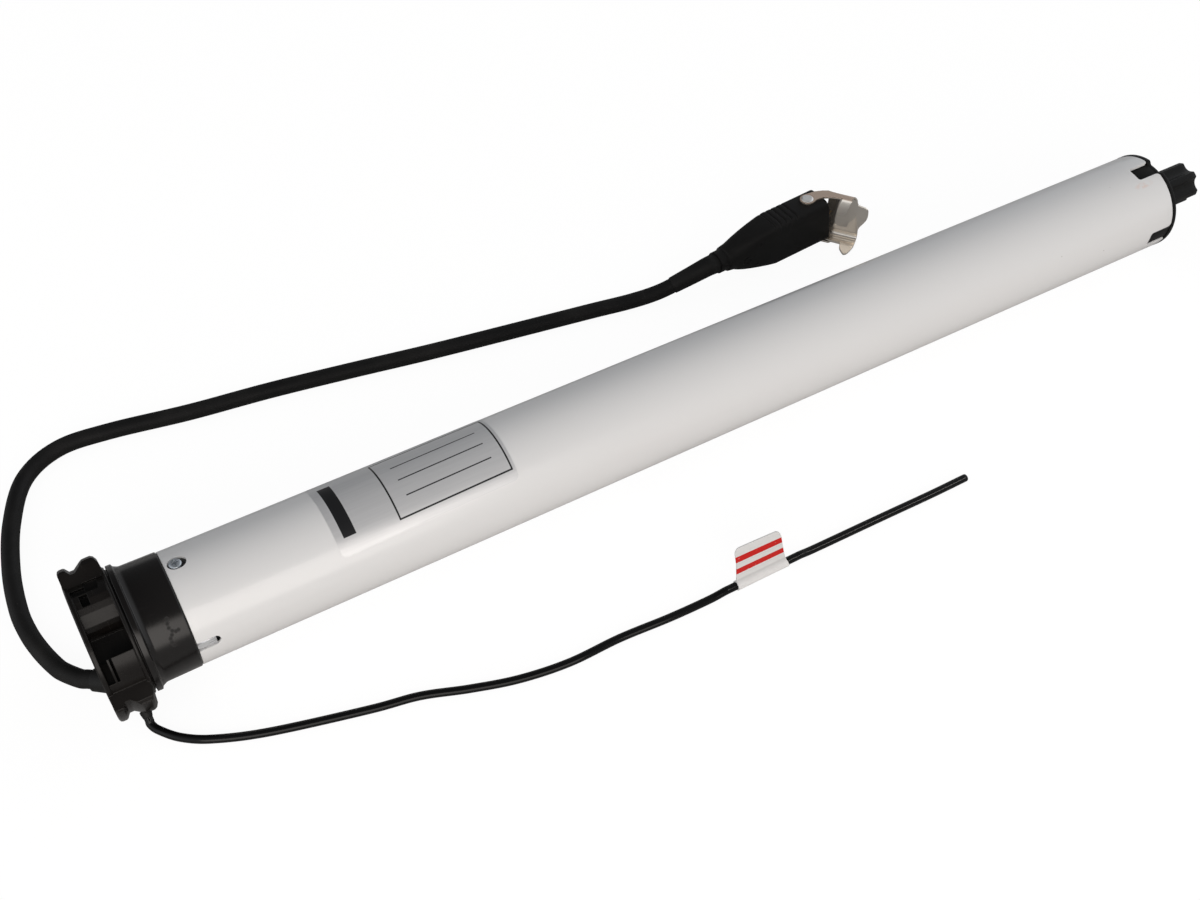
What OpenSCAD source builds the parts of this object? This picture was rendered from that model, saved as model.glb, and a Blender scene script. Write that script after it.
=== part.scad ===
// Tubular roller blind motor, lying on a table: a fixed drive head with two
// lugs, a free running ring, a lacquered motor tube with its electronics,
// motor, brake and three planetary stages, and a fluted output shaft.
// X runs along the tube from the head to the shaft, Z is up, millimetres.

/* [Tube] */
// Outer diameter of the motor tube
tube_d = 45; // [44:0.5:50]
// Wall of the motor tube
tube_wall = 1.2; // [1:0.1:1.6]
// Length of the motor tube
tube_len = 478.8; // [476:0.2:520]
// Length of the open locating slot at the head end
slot_len = 8.6; // [6:0.2:12]
// Width of the locating slot
slot_w = 4.4; // [3.4:0.2:6]
// Direction of the locating slot, 0 is the front and 90 the top
slot_phi = 6.5; // [0:0.5:20]
// Direction of the tube screw
screw_phi = 95.5; // [85:0.5:105]
// Distance of the tube screw from the head end of the tube
screw_set = 4.1; // [4:0.1:8]
// Diameter of the tube screw's head
screw_head_d = 5.2; // [4.6:0.1:5.4]
// How far the screw's hole is drawn out along the tube
screw_hole_run = 1.2; // [0:0.1:3]
// Depth of the four tab notches at the shaft end
notch_len = 12; // [8:0.5:16]
// Width of each tab notch
notch_w = 7.7; // [6:0.1:10]
// Inner corner radius of a notch
notch_round = 1.5; // [0.5:0.1:2.5]
// Direction of the first notch
notch_phi = 83; // [75:1:90]

/* [Head] */
// Length of the head along the tube
head_len = 15.7; // [14.5:0.1:20]
// Diameter of the head's drum
drum_d = 48; // [47:0.5:49]
// Diameter of the flange beside the running ring
flange_d = 50; // [49.5:0.5:54]
// Thickness of that flange
flange_t = 1.6; // [1.2:0.1:2.4]
// Width of the rim at the outer face
lip_t = 1.9; // [1.4:0.1:2.4]
// Distance from the axis to the top of a lug
lug_reach = 30.5; // [29.5:0.1:33]
// Width of a lug
lug_w = 25.6; // [22:0.2:27]
// Direction of the lower lug
lug_phi = -31.5; // [-36:0.5:-28]
// Reach of the outer prong of a lug
prong_reach = 29.8; // [29:0.1:31]
// Reach at the bottom of the clip groove in a lug
groove_reach = 27.9; // [27:0.1:28.5]
// Wall left between a side pocket and the core of the head
core_r = 10.5; // [10:0.1:11.5]
// Diameter of the two head screws' shanks
head_screw_d = 4; // [3:0.5:4.5]
// Distance of the head screws from the axis
head_screw_r = 13; // [12.5:0.1:13.5]

/* [Running ring] */
// Gap between the head and the running ring
ring_gap = 0.9; // [0.5:0.1:1.5]
// Length of the running ring
ring_len = 17.7; // [15:0.1:22]
// Diameter of the ring's barrel
ring_d = 45.4; // [44.6:0.2:47]
// Diameter of the ring's flange
ring_flange_d = 49.8; // [48.5:0.1:49.9]
// Thickness of the ring's flange
ring_flange_t = 2.4; // [1.8:0.1:3.2]
// Gap between the ring and the tube
ring_tube_gap = 0.2; // [0.1:0.1:0.5]
// Diameter of the journal that the ring runs on
journal_d = 38.8; // [37:0.2:39.6]
// Bore of the spigot, where the leads pass
spigot_bore_d = 32; // [28:1:33]
// Length of the spigot inside the tube
spigot_in = 30; // [24:1:34]

/* [Output] */
// Rim of the end cap past the tube
cap_rim = 2; // [1.5:0.1:3]
// Length of the end cap inside the tube
cap_in = 33; // [28:0.5:36]
// Length of the output shaft past the end cap
shaft_out = 29.2; // [24:0.2:34]
// Diameter over the shaft's lobes
shaft_d = 18; // [17:0.2:20]
// Number of lobes
shaft_lobes = 6; // [6:1:8]
// Diameter of the flutes between the lobes
flute_d = 5; // [3.6:0.2:5.4]
// Diameter of the spindle's tip inside the shaft
spindle_tip_d = 10; // [9:0.2:10.6]
// Diameter of the spindle in its bush
spindle_d = 17; // [15:0.5:18]
// Outer diameter of the output bush
bush_d = 24; // [21:0.5:26]

/* [Gearing] */
// Wall of the internal gear behind its teeth
gear_wall = 1.71; // [1.5:0.01:2.4]
// Play between teeth along the pitch circle
backlash = 0.14; // [0.1:0.01:0.2]
// Tooth width of the first stage
face_1 = 12; // [10:0.5:13]
// Tooth width of the second stage
face_2 = 16; // [14:0.5:17]
// Tooth width of the third stage
face_3 = 22; // [20:0.5:23]
// Thickness of a planet carrier's disc
carrier_t = 5; // [4:0.2:5.6]
// Diameter of the planet pins
planet_pin_d = 4; // [3:0.2:5]

/* [Motor] */
// Length of the stator core
stator_len = 86; // [70:1:88]
// Bore of the stator core
stator_bore_d = 21; // [20:0.2:24]
// Number of winding slots
stator_slots = 12; // [8:2:14]
// Air gap between rotor and stator
air_gap = 0.4; // [0.3:0.05:0.6]
// Diameter of the rotor shaft
rotor_shaft_d = 6; // [5:0.5:6.4]
// Length of each end shield
shield_len = 18; // [16.5:0.5:19]
// Outer diameter of the bearing bushes
bearing_d = 12; // [10:0.5:13]
// Length of the brake
brake_len = 26; // [24.5:0.5:28]
// Travel of the brake's armature
brake_travel = 0.4; // [0.2:0.1:0.6]

/* [Electronics] */
// Room for leads between the spigot and the board cradle
cradle_gap = 22.4; // [15:0.2:30]
// Gap between the circuit board's edge and the cradle's wall
board_gap = 1.03; // [0.6:0.01:2]
// Share of the cradle's length that the circuit board takes
board_share = 0.575; // [0.5:0.005:0.58]
// Thickness of the circuit board
board_t = 1.6; // [1.2:0.1:2]
// Gap between the run capacitor and the cradle's wall
capacitor_gap = 4.68; // [3:0.02:7]
// Share of the cradle's length that the run capacitor takes
capacitor_share = 0.31; // [0.26:0.005:0.32]

/* [Plug] */
// Length of the plug with its neck
plug_len = 63; // [58:1:70]
// Thickness of the plug
plug_w = 15; // [14:0.5:17]
// Height of the plug, lying on its narrow side
plug_h = 24; // [23:0.5:26]
// Diameter of the plug's neck
neck_d = 10.6; // [9.6:0.2:12]
// Thickness of the bail's sheet metal
bail_t = 1; // [0.8:0.1:1.2]
// Diameter of the bail's rivets
rivet_d = 3.2; // [2.6:0.1:4]

/* [Leads] */
// Diameter of the power cord
cord_d = 7.2; // [6.6:0.1:7.4]
// Diameter of the aerial wire
wire_d = 3.3; // [2.8:0.1:3.4]
// Width of the tag on the aerial wire
tag_w = 22; // [18:1:26]
// Height of the tag
tag_h = 19; // [14:1:22]

/* [Fits] */
// Radial running clearance of turning and sliding fits
running_clear = 0.05; // [0.03:0.01:0.08]
// Radial gap of pieces that are pushed together and stay
push_gap = 0.02; // [0.01:0.01:0.05]
// End float between turning pieces
end_float = 0.3; // [0.2:0.05:0.5]

/* [Hidden] */
$fn = 96;
// Extra length of a cut past the face it opens
over = 1;
tube_r = tube_d / 2;
bore_r = tube_r - tube_wall;
inner_r = bore_r - push_gap;
total_len = head_len + ring_gap + ring_len + ring_tube_gap + tube_len + cap_rim + shaft_out;
axis_z = flange_d / 2;

// Stations along the tube
head_x = -total_len / 2;
flange_x = head_x + head_len;
ring_x = flange_x + ring_gap;
tube_x = ring_x + ring_len + ring_tube_gap;
tube_end_x = tube_x + tube_len;
cap_x = tube_end_x + cap_rim;
tip_x = cap_x + shaft_out;

// Gearing: the teeth of sun and ring together divide by three, so three planets fit
sun_teeth = 9;
planet_teeth = 15;
planet_count = 3;
pressure = 25;
addendum_share = 0.8;
dedendum_share = 1.1;
flank_steps = 4;
ring_teeth = sun_teeth + 2 * planet_teeth;
gear_module = (inner_r - gear_wall) / (ring_teeth / 2 + dedendum_share);
addendum = addendum_share * gear_module;
dedendum = dedendum_share * gear_module;
sun_r = gear_module * sun_teeth / 2;
planet_r = gear_module * planet_teeth / 2;
centre_r = sun_r + planet_r;
ring_r = gear_module * ring_teeth / 2;
carrier_gap = 1;
carrier_r = ring_r - addendum - carrier_gap;

// Rounding of moulded edges
edge = 0.5;

// Head: lip, shoulder, pockets, slots and fins, measured across the lugs and out from the axis
lip_out = 0.4;
lip_slope = 0.2;
lug_side_drop = 1.2;
shoulder_top = 13.6;
shoulder_low = 0;
shoulder_steps = 8;
bay_sink = 0.2;
pocket_low = -9.4;
pocket_wall = 12;
side_slot = [16, 18.4];
side_slot_floor = 12.5;
side_slot_end = 11.6;
bracket_top = 20.4;
bracket_floor = 11;
bracket_z = [7, 12];
notch_s = [11.2, 15.5];
notch_z = [4.1, 7];
fin_low = -17.6;
fin_floor = 13;
fin_z = [4.4, 5.2];
fin_pocket_end = 6.1;

// A lug's outline: steps back from its reach, and distances from the outer face
prong_steps = [1.1, 0.3, 0];
prong_z = [0.2, 0.6, 1.4, 2.7, 3.3];
groove_z = [4.5, 6.1];
crest_steps = [0.6, 0.1, 0, 2];
crest_z = [8.9, 9.8, 11];
crest_back = [1.2, 0.2, -0.6, -1];

// Screws
screw_shank_d = 3.2;
screw_hole_gap = 0.2;
screw_sink = 0.2;
head_screw_sink = 1;
head_screw_grip = 3.5;
head_screw_key = 2.4;

// The stack is built from the shaft end back to the head
cap_in_x = tube_end_x - cap_in;
carrier_3_x = cap_in_x - end_float - carrier_t;
planet_3_x = carrier_3_x - end_float - face_3;
carrier_2_x = planet_3_x - end_float - carrier_t;
planet_2_x = carrier_2_x - end_float - face_2;
carrier_1_x = planet_2_x - end_float - carrier_t;
planet_1_x = carrier_1_x - end_float - face_1;
gear_plate_t = 4;
gear_x = planet_1_x - end_float - gear_plate_t;
brake_x = gear_x - brake_len;
front_shield_x = brake_x - shield_len;
stator_x = front_shield_x - stator_len;
rear_shield_x = stator_x - shield_len;
spigot_end_x = tube_x + spigot_in;
cradle_x = spigot_end_x + cradle_gap;
cradle_len = rear_shield_x - end_float - cradle_x;

// End shields: a disc that holds the bearing and a rim that holds the core
shield_disc_t = 8;
shield_rim_t = 1.7;
shield_hole_r = 2.5;
shield_hole_set = 13.5;
winding_gap = 0.5;
winding_r = inner_r - shield_rim_t - winding_gap;
slot_depth = 5.5;
tooth_tip = 1.2;
tooth_half = 0.9;
throat_w = 1.6;
rotor_r = stator_bore_d / 2 - air_gap;
shaft_r = rotor_shaft_d / 2;

// Brake: coil body, sliding armature and the disc on the rotor
coil_len = 13;
armature_t = 4;
brake_disc_t = 4;
brake_rim_t = 1.8;
brake_keys = 3;
brake_key_w = 4;
brake_key_gap = 0.2;
brake_key_wall = 0.6;
brake_shaft_gap = 1;
armature_r = inner_r - brake_rim_t - 1;
armature_x = brake_x + coil_len + brake_travel + 0.2;
brake_disc_x = armature_x + armature_t + 0.1;
spring_r = 8;
spring_wall = 1.6;
spring_len = 6;

// Electronics: the board lies across the tube on the cradle's two rails
cradle_wall = 1.6;
rail_w = 2;
rail_h = 3;
board_drop = 5;
board_set = 6;
board_x = cradle_x + board_set;
board_len = board_share * cradle_len;
cradle_r = inner_r - cradle_wall;
board_w = 2 * (sqrt(cradle_r * cradle_r - board_drop * board_drop) - board_gap);
board_y = board_w / 2;
board_z = axis_z - board_drop;
post_h = 5;
stud_len = 5;
stud_gap = 3;
capacitor_x = board_x + board_len + stud_len + stud_gap;
capacitor_len = capacitor_share * cradle_len;
capacitor_d = 2 * (cradle_r - capacitor_gap);
saddle_t = 4;
saddle_set = 6;
relay = [0.19 * board_len, 0.42 * board_w, 12];
relay_place = [0.12 * board_len, 3];
relay_gap = 0.05 * board_len;
radio_can = [0.22 * board_len, 0.44 * board_w, 3];
radio_set = 0.7 * board_len;
terminal = [0.08 * board_len, 0.66 * board_w, 9];
terminal_set = 0.02 * board_len;
terminal_ways = 4;
way_pitch = terminal[1] / (terminal_ways + 0.36);
way_d = 0.37 * terminal[0];

// Output shaft, held on the spindle's tip by a screw from its end
shaft_wall = 6;
shaft_screw_d = 4;
shaft_screw_len = 12;
shaft_screw_head = [7.4, 2.4];
shaft_recess = [8, 3];
shaft_key_depth = 1.6;

// Plug: place of the front face, its turn in the table's plane and its height
plug_place = [111.5, 80];
plug_turn = 5;
rivet_head_d = 6;
rivet_head_t = 0.55;
bail_clear = 0.1;
bail_floor = 0.1;
plug_z = bail_floor + rivet_head_t + bail_t + bail_clear + plug_h / 2;
pivot_set = 8;
rivet_in = 4;
plug_round = 3;
plug_shoulder = 36;
neck_len = 4;
insert_w = plug_w - 4;
insert_h = plug_h - 4;
insert_len = 16;
contact_d = 3.4;
contact_bore_d = 2.4;
contact_len = 12;
contact_pitch = [5, 10];

// Bail, from its pivot: arms, upright web, thumb tab, spring lug and hook
bail_eye_r = 3.6;
web_from = [13.6, -0.6];
web_to = [22.4, -13.8];
arm_outline = [[0, bail_eye_r], [7, 1.9], web_from, web_to, [19.2, -13.4], [15, -9], [11, -5.6],
    [6.6, -4.2], [0, -bail_eye_r]];
hook_outline = [[14, -9.5], web_to, [17.5, -16.8], [10.9, -21.3], [9, -19.1], [10.7, -15.7], [14.8, -13.9]];
bail_tab_r = 6;
spring_lug = [5, 1.7, 7.5];
spring_lug_place = [3, -4];

// Power cord: gland in the head, then a route along the table
gland_yaw = 40;
gland_dip = 8;
gland_len = 14;
gland_d = 10;
gland_end_d = 8.8;
gland_out = 2.4;
gland_rim = 4.6;
gland_exit = [head_x - gland_out, 0, axis_z - drum_d / 2 + gland_rim];
gland_way = [-cos(gland_yaw) * cos(gland_dip), sin(gland_yaw) * cos(gland_dip), -sin(gland_dip)];
cord_lead = 3;
end_gap = 0.02;
plug_way = [cos(plug_turn), sin(plug_turn), 0];
plug_tail = [plug_place[0], plug_place[1], plug_z] - plug_len * plug_way;
cord_lay = cord_d / 2 + 0.05;
cord_fall = [[-283.3, 9.6, 4.1]];
cord_floor_route = [
    [-285.6, 14.3], [-288.6, 24], [-290.6, 35], [-291, 48], [-288.5, 68], [-282, 92], [-271, 113.5],
    [-254, 123.5], [-232, 122.5], [-198, 116], [-163, 111], [-127, 104.5], [-91, 97.5], [-53, 91],
    [-14, 84.5], [6, 81]
];
cord_rise = [[20, 78.5, 5.2], [32, 76, 9.6]];
cord_route = concat(
    [for (k = [0 : 2]) gland_exit + (end_gap + k * cord_lead) * gland_way],
    cord_fall,
    [for (p = cord_floor_route) [p[0], p[1], cord_lay]],
    cord_rise,
    [for (k = [2 : -1 : 0]) plug_tail - (end_gap + k * cord_lead) * plug_way]
);

// Aerial wire: leaves the lower lug, lies on the table, ends bare
aerial_phi = -40;
aerial_set = 9.5;
grommet_d = 5.4;
grommet_out = 1.5;
grommet_in = 5;
aerial_way = [0, -cos(aerial_phi), sin(aerial_phi)];
aerial_exit = [head_x + aerial_set, 0, axis_z] + (lug_reach + grommet_out) * aerial_way;
wire_lead = 1.5;
wire_lay = wire_d / 2 + 0.05;
tag_lift = 2.3;
wire_start = [[-261, -30], [-255, -37], [-245, -43.5], [-226, -51], [-191, -60.5], [-172.5, -64.5],
    [-155, -71], [-137, -76.5], [-117, -79.5], [-95, -79.5], [-73.5, -81], [-56, -81.5]];
tag_y = -81.5;
tag_run = [[-48, tag_y], [-44, tag_y], [-16, tag_y], [-12, tag_y]];
wire_end = [[-4, tag_y], [28, -82], [54, -82.5], [73, -82.5]];
wire_route = concat(
    [for (k = [0 : 2]) aerial_exit + (end_gap + k * wire_lead) * aerial_way],
    [for (p = wire_start) [p[0], p[1], wire_lay]],
    [for (p = tag_run) [p[0], p[1], tag_lift]],
    [for (p = wire_end) [p[0], p[1], wire_lay]]
);
tag_x = -30;
tag_lean = 11;
tag_t = 0.6;
tag_wrap = 0.4;

// Turn about the tube's axis that brings local X to a direction phi
function turn(phi) = 270 - phi;

// Local Z to the tube's axis, from station x on
module along(x, phi = 270) {
    translate([x, 0, axis_z])
        rotate([0, 90, 0])
            rotate([0, 0, turn(phi)])
                children();
}

// Local X outwards at a direction phi, at station x
module radial(x, phi) {
    along(x, phi) rotate([0, 90, 0]) children();
}

module pipe(r_out, r_in, len) {
    difference() {
        cylinder(r = r_out, h = len);
        translate([0, 0, -over]) cylinder(r = r_in, h = len + 2 * over);
    }
}

// A round bar that starts at a point and runs along a direction given by yaw and dip
module along_way(point, yaw, dip) {
    translate(point) rotate([0, 0, 180 - yaw]) rotate([0, 90 + dip, 0]) children();
}

// Involute of a circle: polar angle, in degrees, where the flank reaches radius r
function involute(r, base) = r <= base ? 0 : let(a = acos(base / r)) tan(a) * 180 / PI - a;

// Half the angle that a tooth takes at radius r
function half_tooth(r, pitch, teeth, play) =
    90 / teeth - play * 90 / (PI * pitch) + involute(pitch, pitch * cos(pressure))
    - involute(r, pitch * cos(pressure));

// Outline of a gear: each tooth rises along one flank and falls along the other
function gear_outline(teeth, play, rise, fall) =
    let(pitch = gear_module * teeth / 2, root = pitch - fall, tip = pitch + rise)
    [for (i = [0 : teeth - 1], side = [-1, 1], k = [0 : flank_steps])
        let(
            j = side < 0 ? k : flank_steps - k,
            r = root + (tip - root) * j / flank_steps,
            a = 360 * i / teeth + side * half_tooth(r, pitch, teeth, play)
        ) r * [cos(a), sin(a)]];

module gear(teeth, face) {
    linear_extrude(face) polygon(gear_outline(teeth, backlash / 2, addendum, dedendum));
}

// A point between p1 and p2 on the smooth curve through p0, p1, p2 and p3
function between(p0, p1, p2, p3, t) =
    0.5 * (2 * p1 + (p2 - p0) * t + (2 * p0 - 5 * p1 + 4 * p2 - p3) * t * t
    + (3 * p1 - p0 - 3 * p2 + p3) * t * t * t);

// The smooth curve through a route, with its ends run on straight
function smooth(route, steps) =
    let(n = len(route), q = concat([2 * route[0] - route[1]], route, [2 * route[n - 1] - route[n - 2]]))
    concat(
        [for (i = [1 : n - 1], k = [0 : steps - 1]) between(q[i - 1], q[i], q[i + 1], q[i + 2], k / steps)],
        [route[n - 1]]
    );

// A closed round tube along a list of points
module tube_along(points, r, sides) {
    n = len(points);
    rings = [for (i = [0 : n - 1])
        let(
            way = points[min(i + 1, n - 1)] - points[max(i - 1, 0)],
            w = way / norm(way),
            s = cross(w, [0, 0, 1]),
            side = s / norm(s),
            up = cross(side, w)
        ) for (k = [0 : sides - 1])
            let(a = 360 * (k + 0.5) / sides) points[i] + r * (cos(a) * side + sin(a) * up)];
    walls = [for (i = [0 : n - 2], k = [0 : sides - 1])
        let(a = i * sides + k, b = i * sides + (k + 1) % sides)
        each [[a, a + sides, b], [b, a + sides, b + sides]]];
    caps = [for (k = [1 : sides - 2])
        let(e = (n - 1) * sides)
        each [[0, k, k + 1], [e, e + k + 1, e + k]]];
    polyhedron(rings, concat(walls, caps), convexity = 10);
}

// Drum and flange, revolved: half outline as radius and distance from the outer face
module drum() {
    lip_r = drum_d / 2 + lip_out;
    flange_r = flange_d / 2;
    rotate_extrude() polygon([
        [0, 0], [lip_r - edge, 0], [lip_r, edge], [lip_r, lip_t - lip_slope], [drum_d / 2, lip_t],
        [drum_d / 2, head_len - flange_t], [flange_r - edge, head_len - flange_t],
        [flange_r, head_len - flange_t + edge], [flange_r, head_len - edge],
        [flange_r - edge, head_len], [0, head_len]
    ]);
}

// Lug: revolved outline with its clip groove, cut to the lug's width
module lug() {
    block = head_len - flange_t;
    side = sqrt(lug_reach * lug_reach - lug_w * lug_w / 4) - lug_side_drop;
    half = lug_w / 2;
    prong = [for (s = prong_steps) prong_reach - s];
    crest = [for (s = crest_steps) lug_reach - s];
    back = [for (b = crest_back) block - b];
    intersection() {
        rotate_extrude() polygon([
            [0, prong_z[0]], [prong[0], prong_z[0]], [prong[1], prong_z[1]], [prong[2], prong_z[2]],
            [prong[2], prong_z[3]], [prong[1], prong_z[4]],
            [groove_reach, groove_z[0]], [groove_reach, groove_z[1]],
            [crest[0], crest_z[0]], [crest[1], crest_z[1]], [crest[2], crest_z[2]],
            [crest[2], back[0]], [crest[0], back[1]], [crest[3], back[2]],
            [flange_d / 2 - lip_slope, back[3]], [0, back[3]]
        ]);
        linear_extrude(head_len) polygon([
            [0, -half], [side, -half], [side + lug_side_drop, 1 - half], [lug_reach + over, 1.4 - half],
            [lug_reach + over, half - 1.4], [side + lug_side_drop, half - 1], [side, half], [0, half]
        ]);
    }
}

// Side pocket: a shoulder rolls off into a deep bay that ends in a straight wall
module side_bay() {
    top_n = sqrt(drum_d * drum_d / 4 - shoulder_top * shoulder_top);
    roll = [for (k = [0 : shoulder_steps])
        let(a = 90 * k / shoulder_steps)
        [shoulder_top + (shoulder_low - shoulder_top) * sin(a), core_r + (top_n - core_r) * cos(a)]];
    far_n = flange_d;
    translate([0, 0, lip_t])
        linear_extrude(head_len - flange_t - lip_t + bay_sink)
            polygon(concat([[shoulder_top, far_n]], roll, [[pocket_low, core_r], [pocket_low, far_n]]));
}

module block_cut(s, n_floor, z) {
    translate([s[0], n_floor, z[0]]) cube([s[1] - s[0], flange_d, z[1] - z[0]]);
}

// Slots beside the upper lug and fins beside the lower one
module side_slots() {
    block_cut(side_slot, side_slot_floor, [lip_t, side_slot_end]);
    block_cut([side_slot[1] - over, bracket_top], bracket_floor, bracket_z);
    block_cut(notch_s, pocket_wall, notch_z);
    block_cut([fin_low, pocket_low + over], fin_floor, [lip_t, fin_z[0]]);
    block_cut([fin_low, pocket_low + over], fin_floor, [fin_z[1], fin_pocket_end]);
}

module drive_head() {
    dish_r = 9;
    dish_depth = 8;
    color("#1d1c1b") difference() {
        union() {
            along(head_x) drum();
            for (half_turn = [0, 180]) along(head_x, lug_phi + half_turn) lug();
        }
        for (half_turn = [0, 180]) along(head_x, lug_phi + 180 + half_turn) side_bay();
        along(head_x, lug_phi + 180) side_slots();
        for (half_turn = [0, 180]) along(head_x, lug_phi + half_turn) translate([head_screw_r, 0, 0]) {
            translate([0, 0, -over])
                cylinder(d = head_screw_d + 2 * push_gap, h = head_len + 2 * over);
            translate([0, 0, -over]) cylinder(r = head_screw_d + push_gap, h = head_screw_d + over);
        }
        along(head_x) translate([0, 0, -over]) cylinder(r = dish_r, h = dish_depth + over);
        gland_shape(push_gap, over);
        radial(head_x + aerial_set, aerial_phi)
            translate([0, 0, lug_reach - grommet_in])
                cylinder(d = grommet_d + 2 * push_gap, h = grommet_in + over);
    }
}

// Spigot: carries the running ring outside the tube and fills the tube's end
module head_spigot() {
    wall_t = 4;
    lead_hole_r = 8;
    key_gap = 0.4;
    key_sink = 0.3;
    key_w = slot_w - 2 * key_gap;
    key_r = tube_r - key_sink;
    color("#b9bbbd") difference() {
        union() {
            along(flange_x) cylinder(d = journal_d, h = tube_x - flange_x);
            along(tube_x) cylinder(r = inner_r, h = spigot_in);
            for (half_turn = [0, 180]) along(tube_x, slot_phi + half_turn) intersection() {
                union() {
                    translate([0, -key_w / 2, 0]) cube([key_r, key_w, slot_len - slot_w / 2]);
                    translate([0, 0, slot_len - slot_w / 2])
                        rotate([0, 90, 0]) cylinder(d = key_w, h = key_r);
                }
                cylinder(r = key_r, h = slot_len);
            }
        }
        along(flange_x + wall_t) cylinder(d = spigot_bore_d, h = total_len);
        along(flange_x - over) cylinder(r = lead_hole_r, h = wall_t + 2 * over);
        for (half_turn = [0, 180]) {
            along(flange_x - over, lug_phi + half_turn)
                translate([head_screw_r, 0, 0]) cylinder(d = head_screw_d, h = wall_t + 2 * over);
            radial(tube_x + screw_set, screw_phi + half_turn) cylinder(d = screw_shank_d, h = tube_d);
        }
    }
}

// Two cheese-head screws pull the head onto the spigot
module head_screws() {
    color("#c9cbcd") for (half_turn = [0, 180])
        along(head_x, lug_phi + half_turn) translate([head_screw_r, 0, 0]) difference() {
            union() {
                cylinder(d = head_screw_d - 2 * push_gap, h = head_len + head_screw_grip);
                translate([0, 0, head_screw_sink])
                    cylinder(r = head_screw_d, h = head_screw_d - head_screw_sink);
            }
            translate([0, 0, -over]) cylinder(r = head_screw_d, h = over + head_screw_sink);
            cylinder(d = head_screw_d, h = head_screw_key, $fn = 6);
        }
}

module running_ring() {
    ring_r_out = ring_d / 2;
    flange_r = ring_flange_d / 2;
    fillet = 1;
    color("#1b1a1a") along(ring_x) rotate_extrude() polygon([
        [journal_d / 2 + running_clear, 0], [flange_r - edge, 0], [flange_r, edge],
        [flange_r, ring_flange_t - edge], [flange_r - edge, ring_flange_t],
        [ring_r_out + fillet, ring_flange_t], [ring_r_out + fillet * 0.3, ring_flange_t + fillet * 0.3],
        [ring_r_out, ring_flange_t + fillet], [ring_r_out, ring_len - edge], [ring_r_out - edge, ring_len],
        [journal_d / 2 + running_clear, ring_len]
    ]);
}

// Rounded notch, open at local Z 0 and running into -Z, cut outwards along local X
module notch_cut(w, len, rounding) {
    for (s = [-1, 1]) translate([0, s * (w / 2 - rounding), rounding - len])
        rotate([0, 90, 0]) cylinder(r = rounding, h = tube_d);
    translate([0, rounding - w / 2, -len]) cube([tube_d, w - 2 * rounding, len + over]);
    translate([0, -w / 2, rounding - len]) cube([tube_d, w, len - rounding + over]);
}

module motor_tube() {
    hole_r = screw_head_d / 2 + screw_hole_gap;
    color("#eceae6") difference() {
        along(tube_x) pipe(tube_r, bore_r, tube_len);
        for (half_turn = [0, 180]) {
            along(tube_x, slot_phi + half_turn) {
                translate([0, -slot_w / 2, -over]) cube([tube_d, slot_w, slot_len - slot_w / 2 + over]);
                translate([0, 0, slot_len - slot_w / 2]) rotate([0, 90, 0])
                    cylinder(d = slot_w, h = tube_d);
            }
            along(tube_x + screw_set, screw_phi + half_turn) {
                for (run = [0, screw_hole_run])
                    translate([0, 0, run]) rotate([0, 90, 0]) cylinder(r = hole_r, h = tube_d);
                translate([0, -hole_r, 0]) cube([tube_d, 2 * hole_r, screw_hole_run]);
            }
        }
        for (quarter = [0 : 90 : 270])
            along(tube_end_x, notch_phi + quarter) notch_cut(notch_w, notch_len, notch_round);
    }
}

// Cross-recessed screws through the tube into the spigot
module tube_screws() {
    head_t = tube_wall - screw_sink;
    shank_in = 3;
    recess = [2.8, 0.8];
    recess_depth = 0.7;
    color("#a8abad") for (half_turn = [0, 180])
        radial(tube_x + screw_set, screw_phi + half_turn) difference() {
            union() {
                translate([0, 0, inner_r + push_gap]) cylinder(d = screw_head_d, h = head_t - push_gap);
                translate([0, 0, inner_r - shank_in])
                    cylinder(d = screw_shank_d - 2 * push_gap, h = shank_in + head_t);
            }
            for (a = [0, 90]) rotate([0, 0, a])
                translate([-recess[0] / 2, -recess[1] / 2, inner_r + head_t - recess_depth])
                    cube([recess[0], recess[1], recess_depth + over]);
        }
}

// Gland: a tapered sleeve with the cord's bore closed by the cord's own end
module gland_shape(grow, past) {
    along_way(gland_exit, gland_yaw, gland_dip)
        translate([0, 0, -gland_len - grow])
            cylinder(d1 = gland_d + 2 * grow, d2 = gland_end_d + 2 * grow, h = gland_len + grow + past);
}

module cord_gland() {
    color("#232221") gland_shape(0, 0);
}

module power_cord() {
    color("#262524") tube_along(smooth(cord_route, 2), cord_d / 2, 10);
}

module at_plug() {
    translate([plug_place[0], plug_place[1], plug_z]) rotate([0, 0, plug_turn]) children();
}

// Rounded block across the plug: x is its front, len its length backwards
module plug_block(x, len, w, h, rounding) {
    for (y = [-1, 1], z = [-1, 1])
        translate([x - len, y * (w / 2 - rounding), z * (h / 2 - rounding)])
            rotate([0, 90, 0]) cylinder(r = rounding, h = len, $fn = 32);
}

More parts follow.
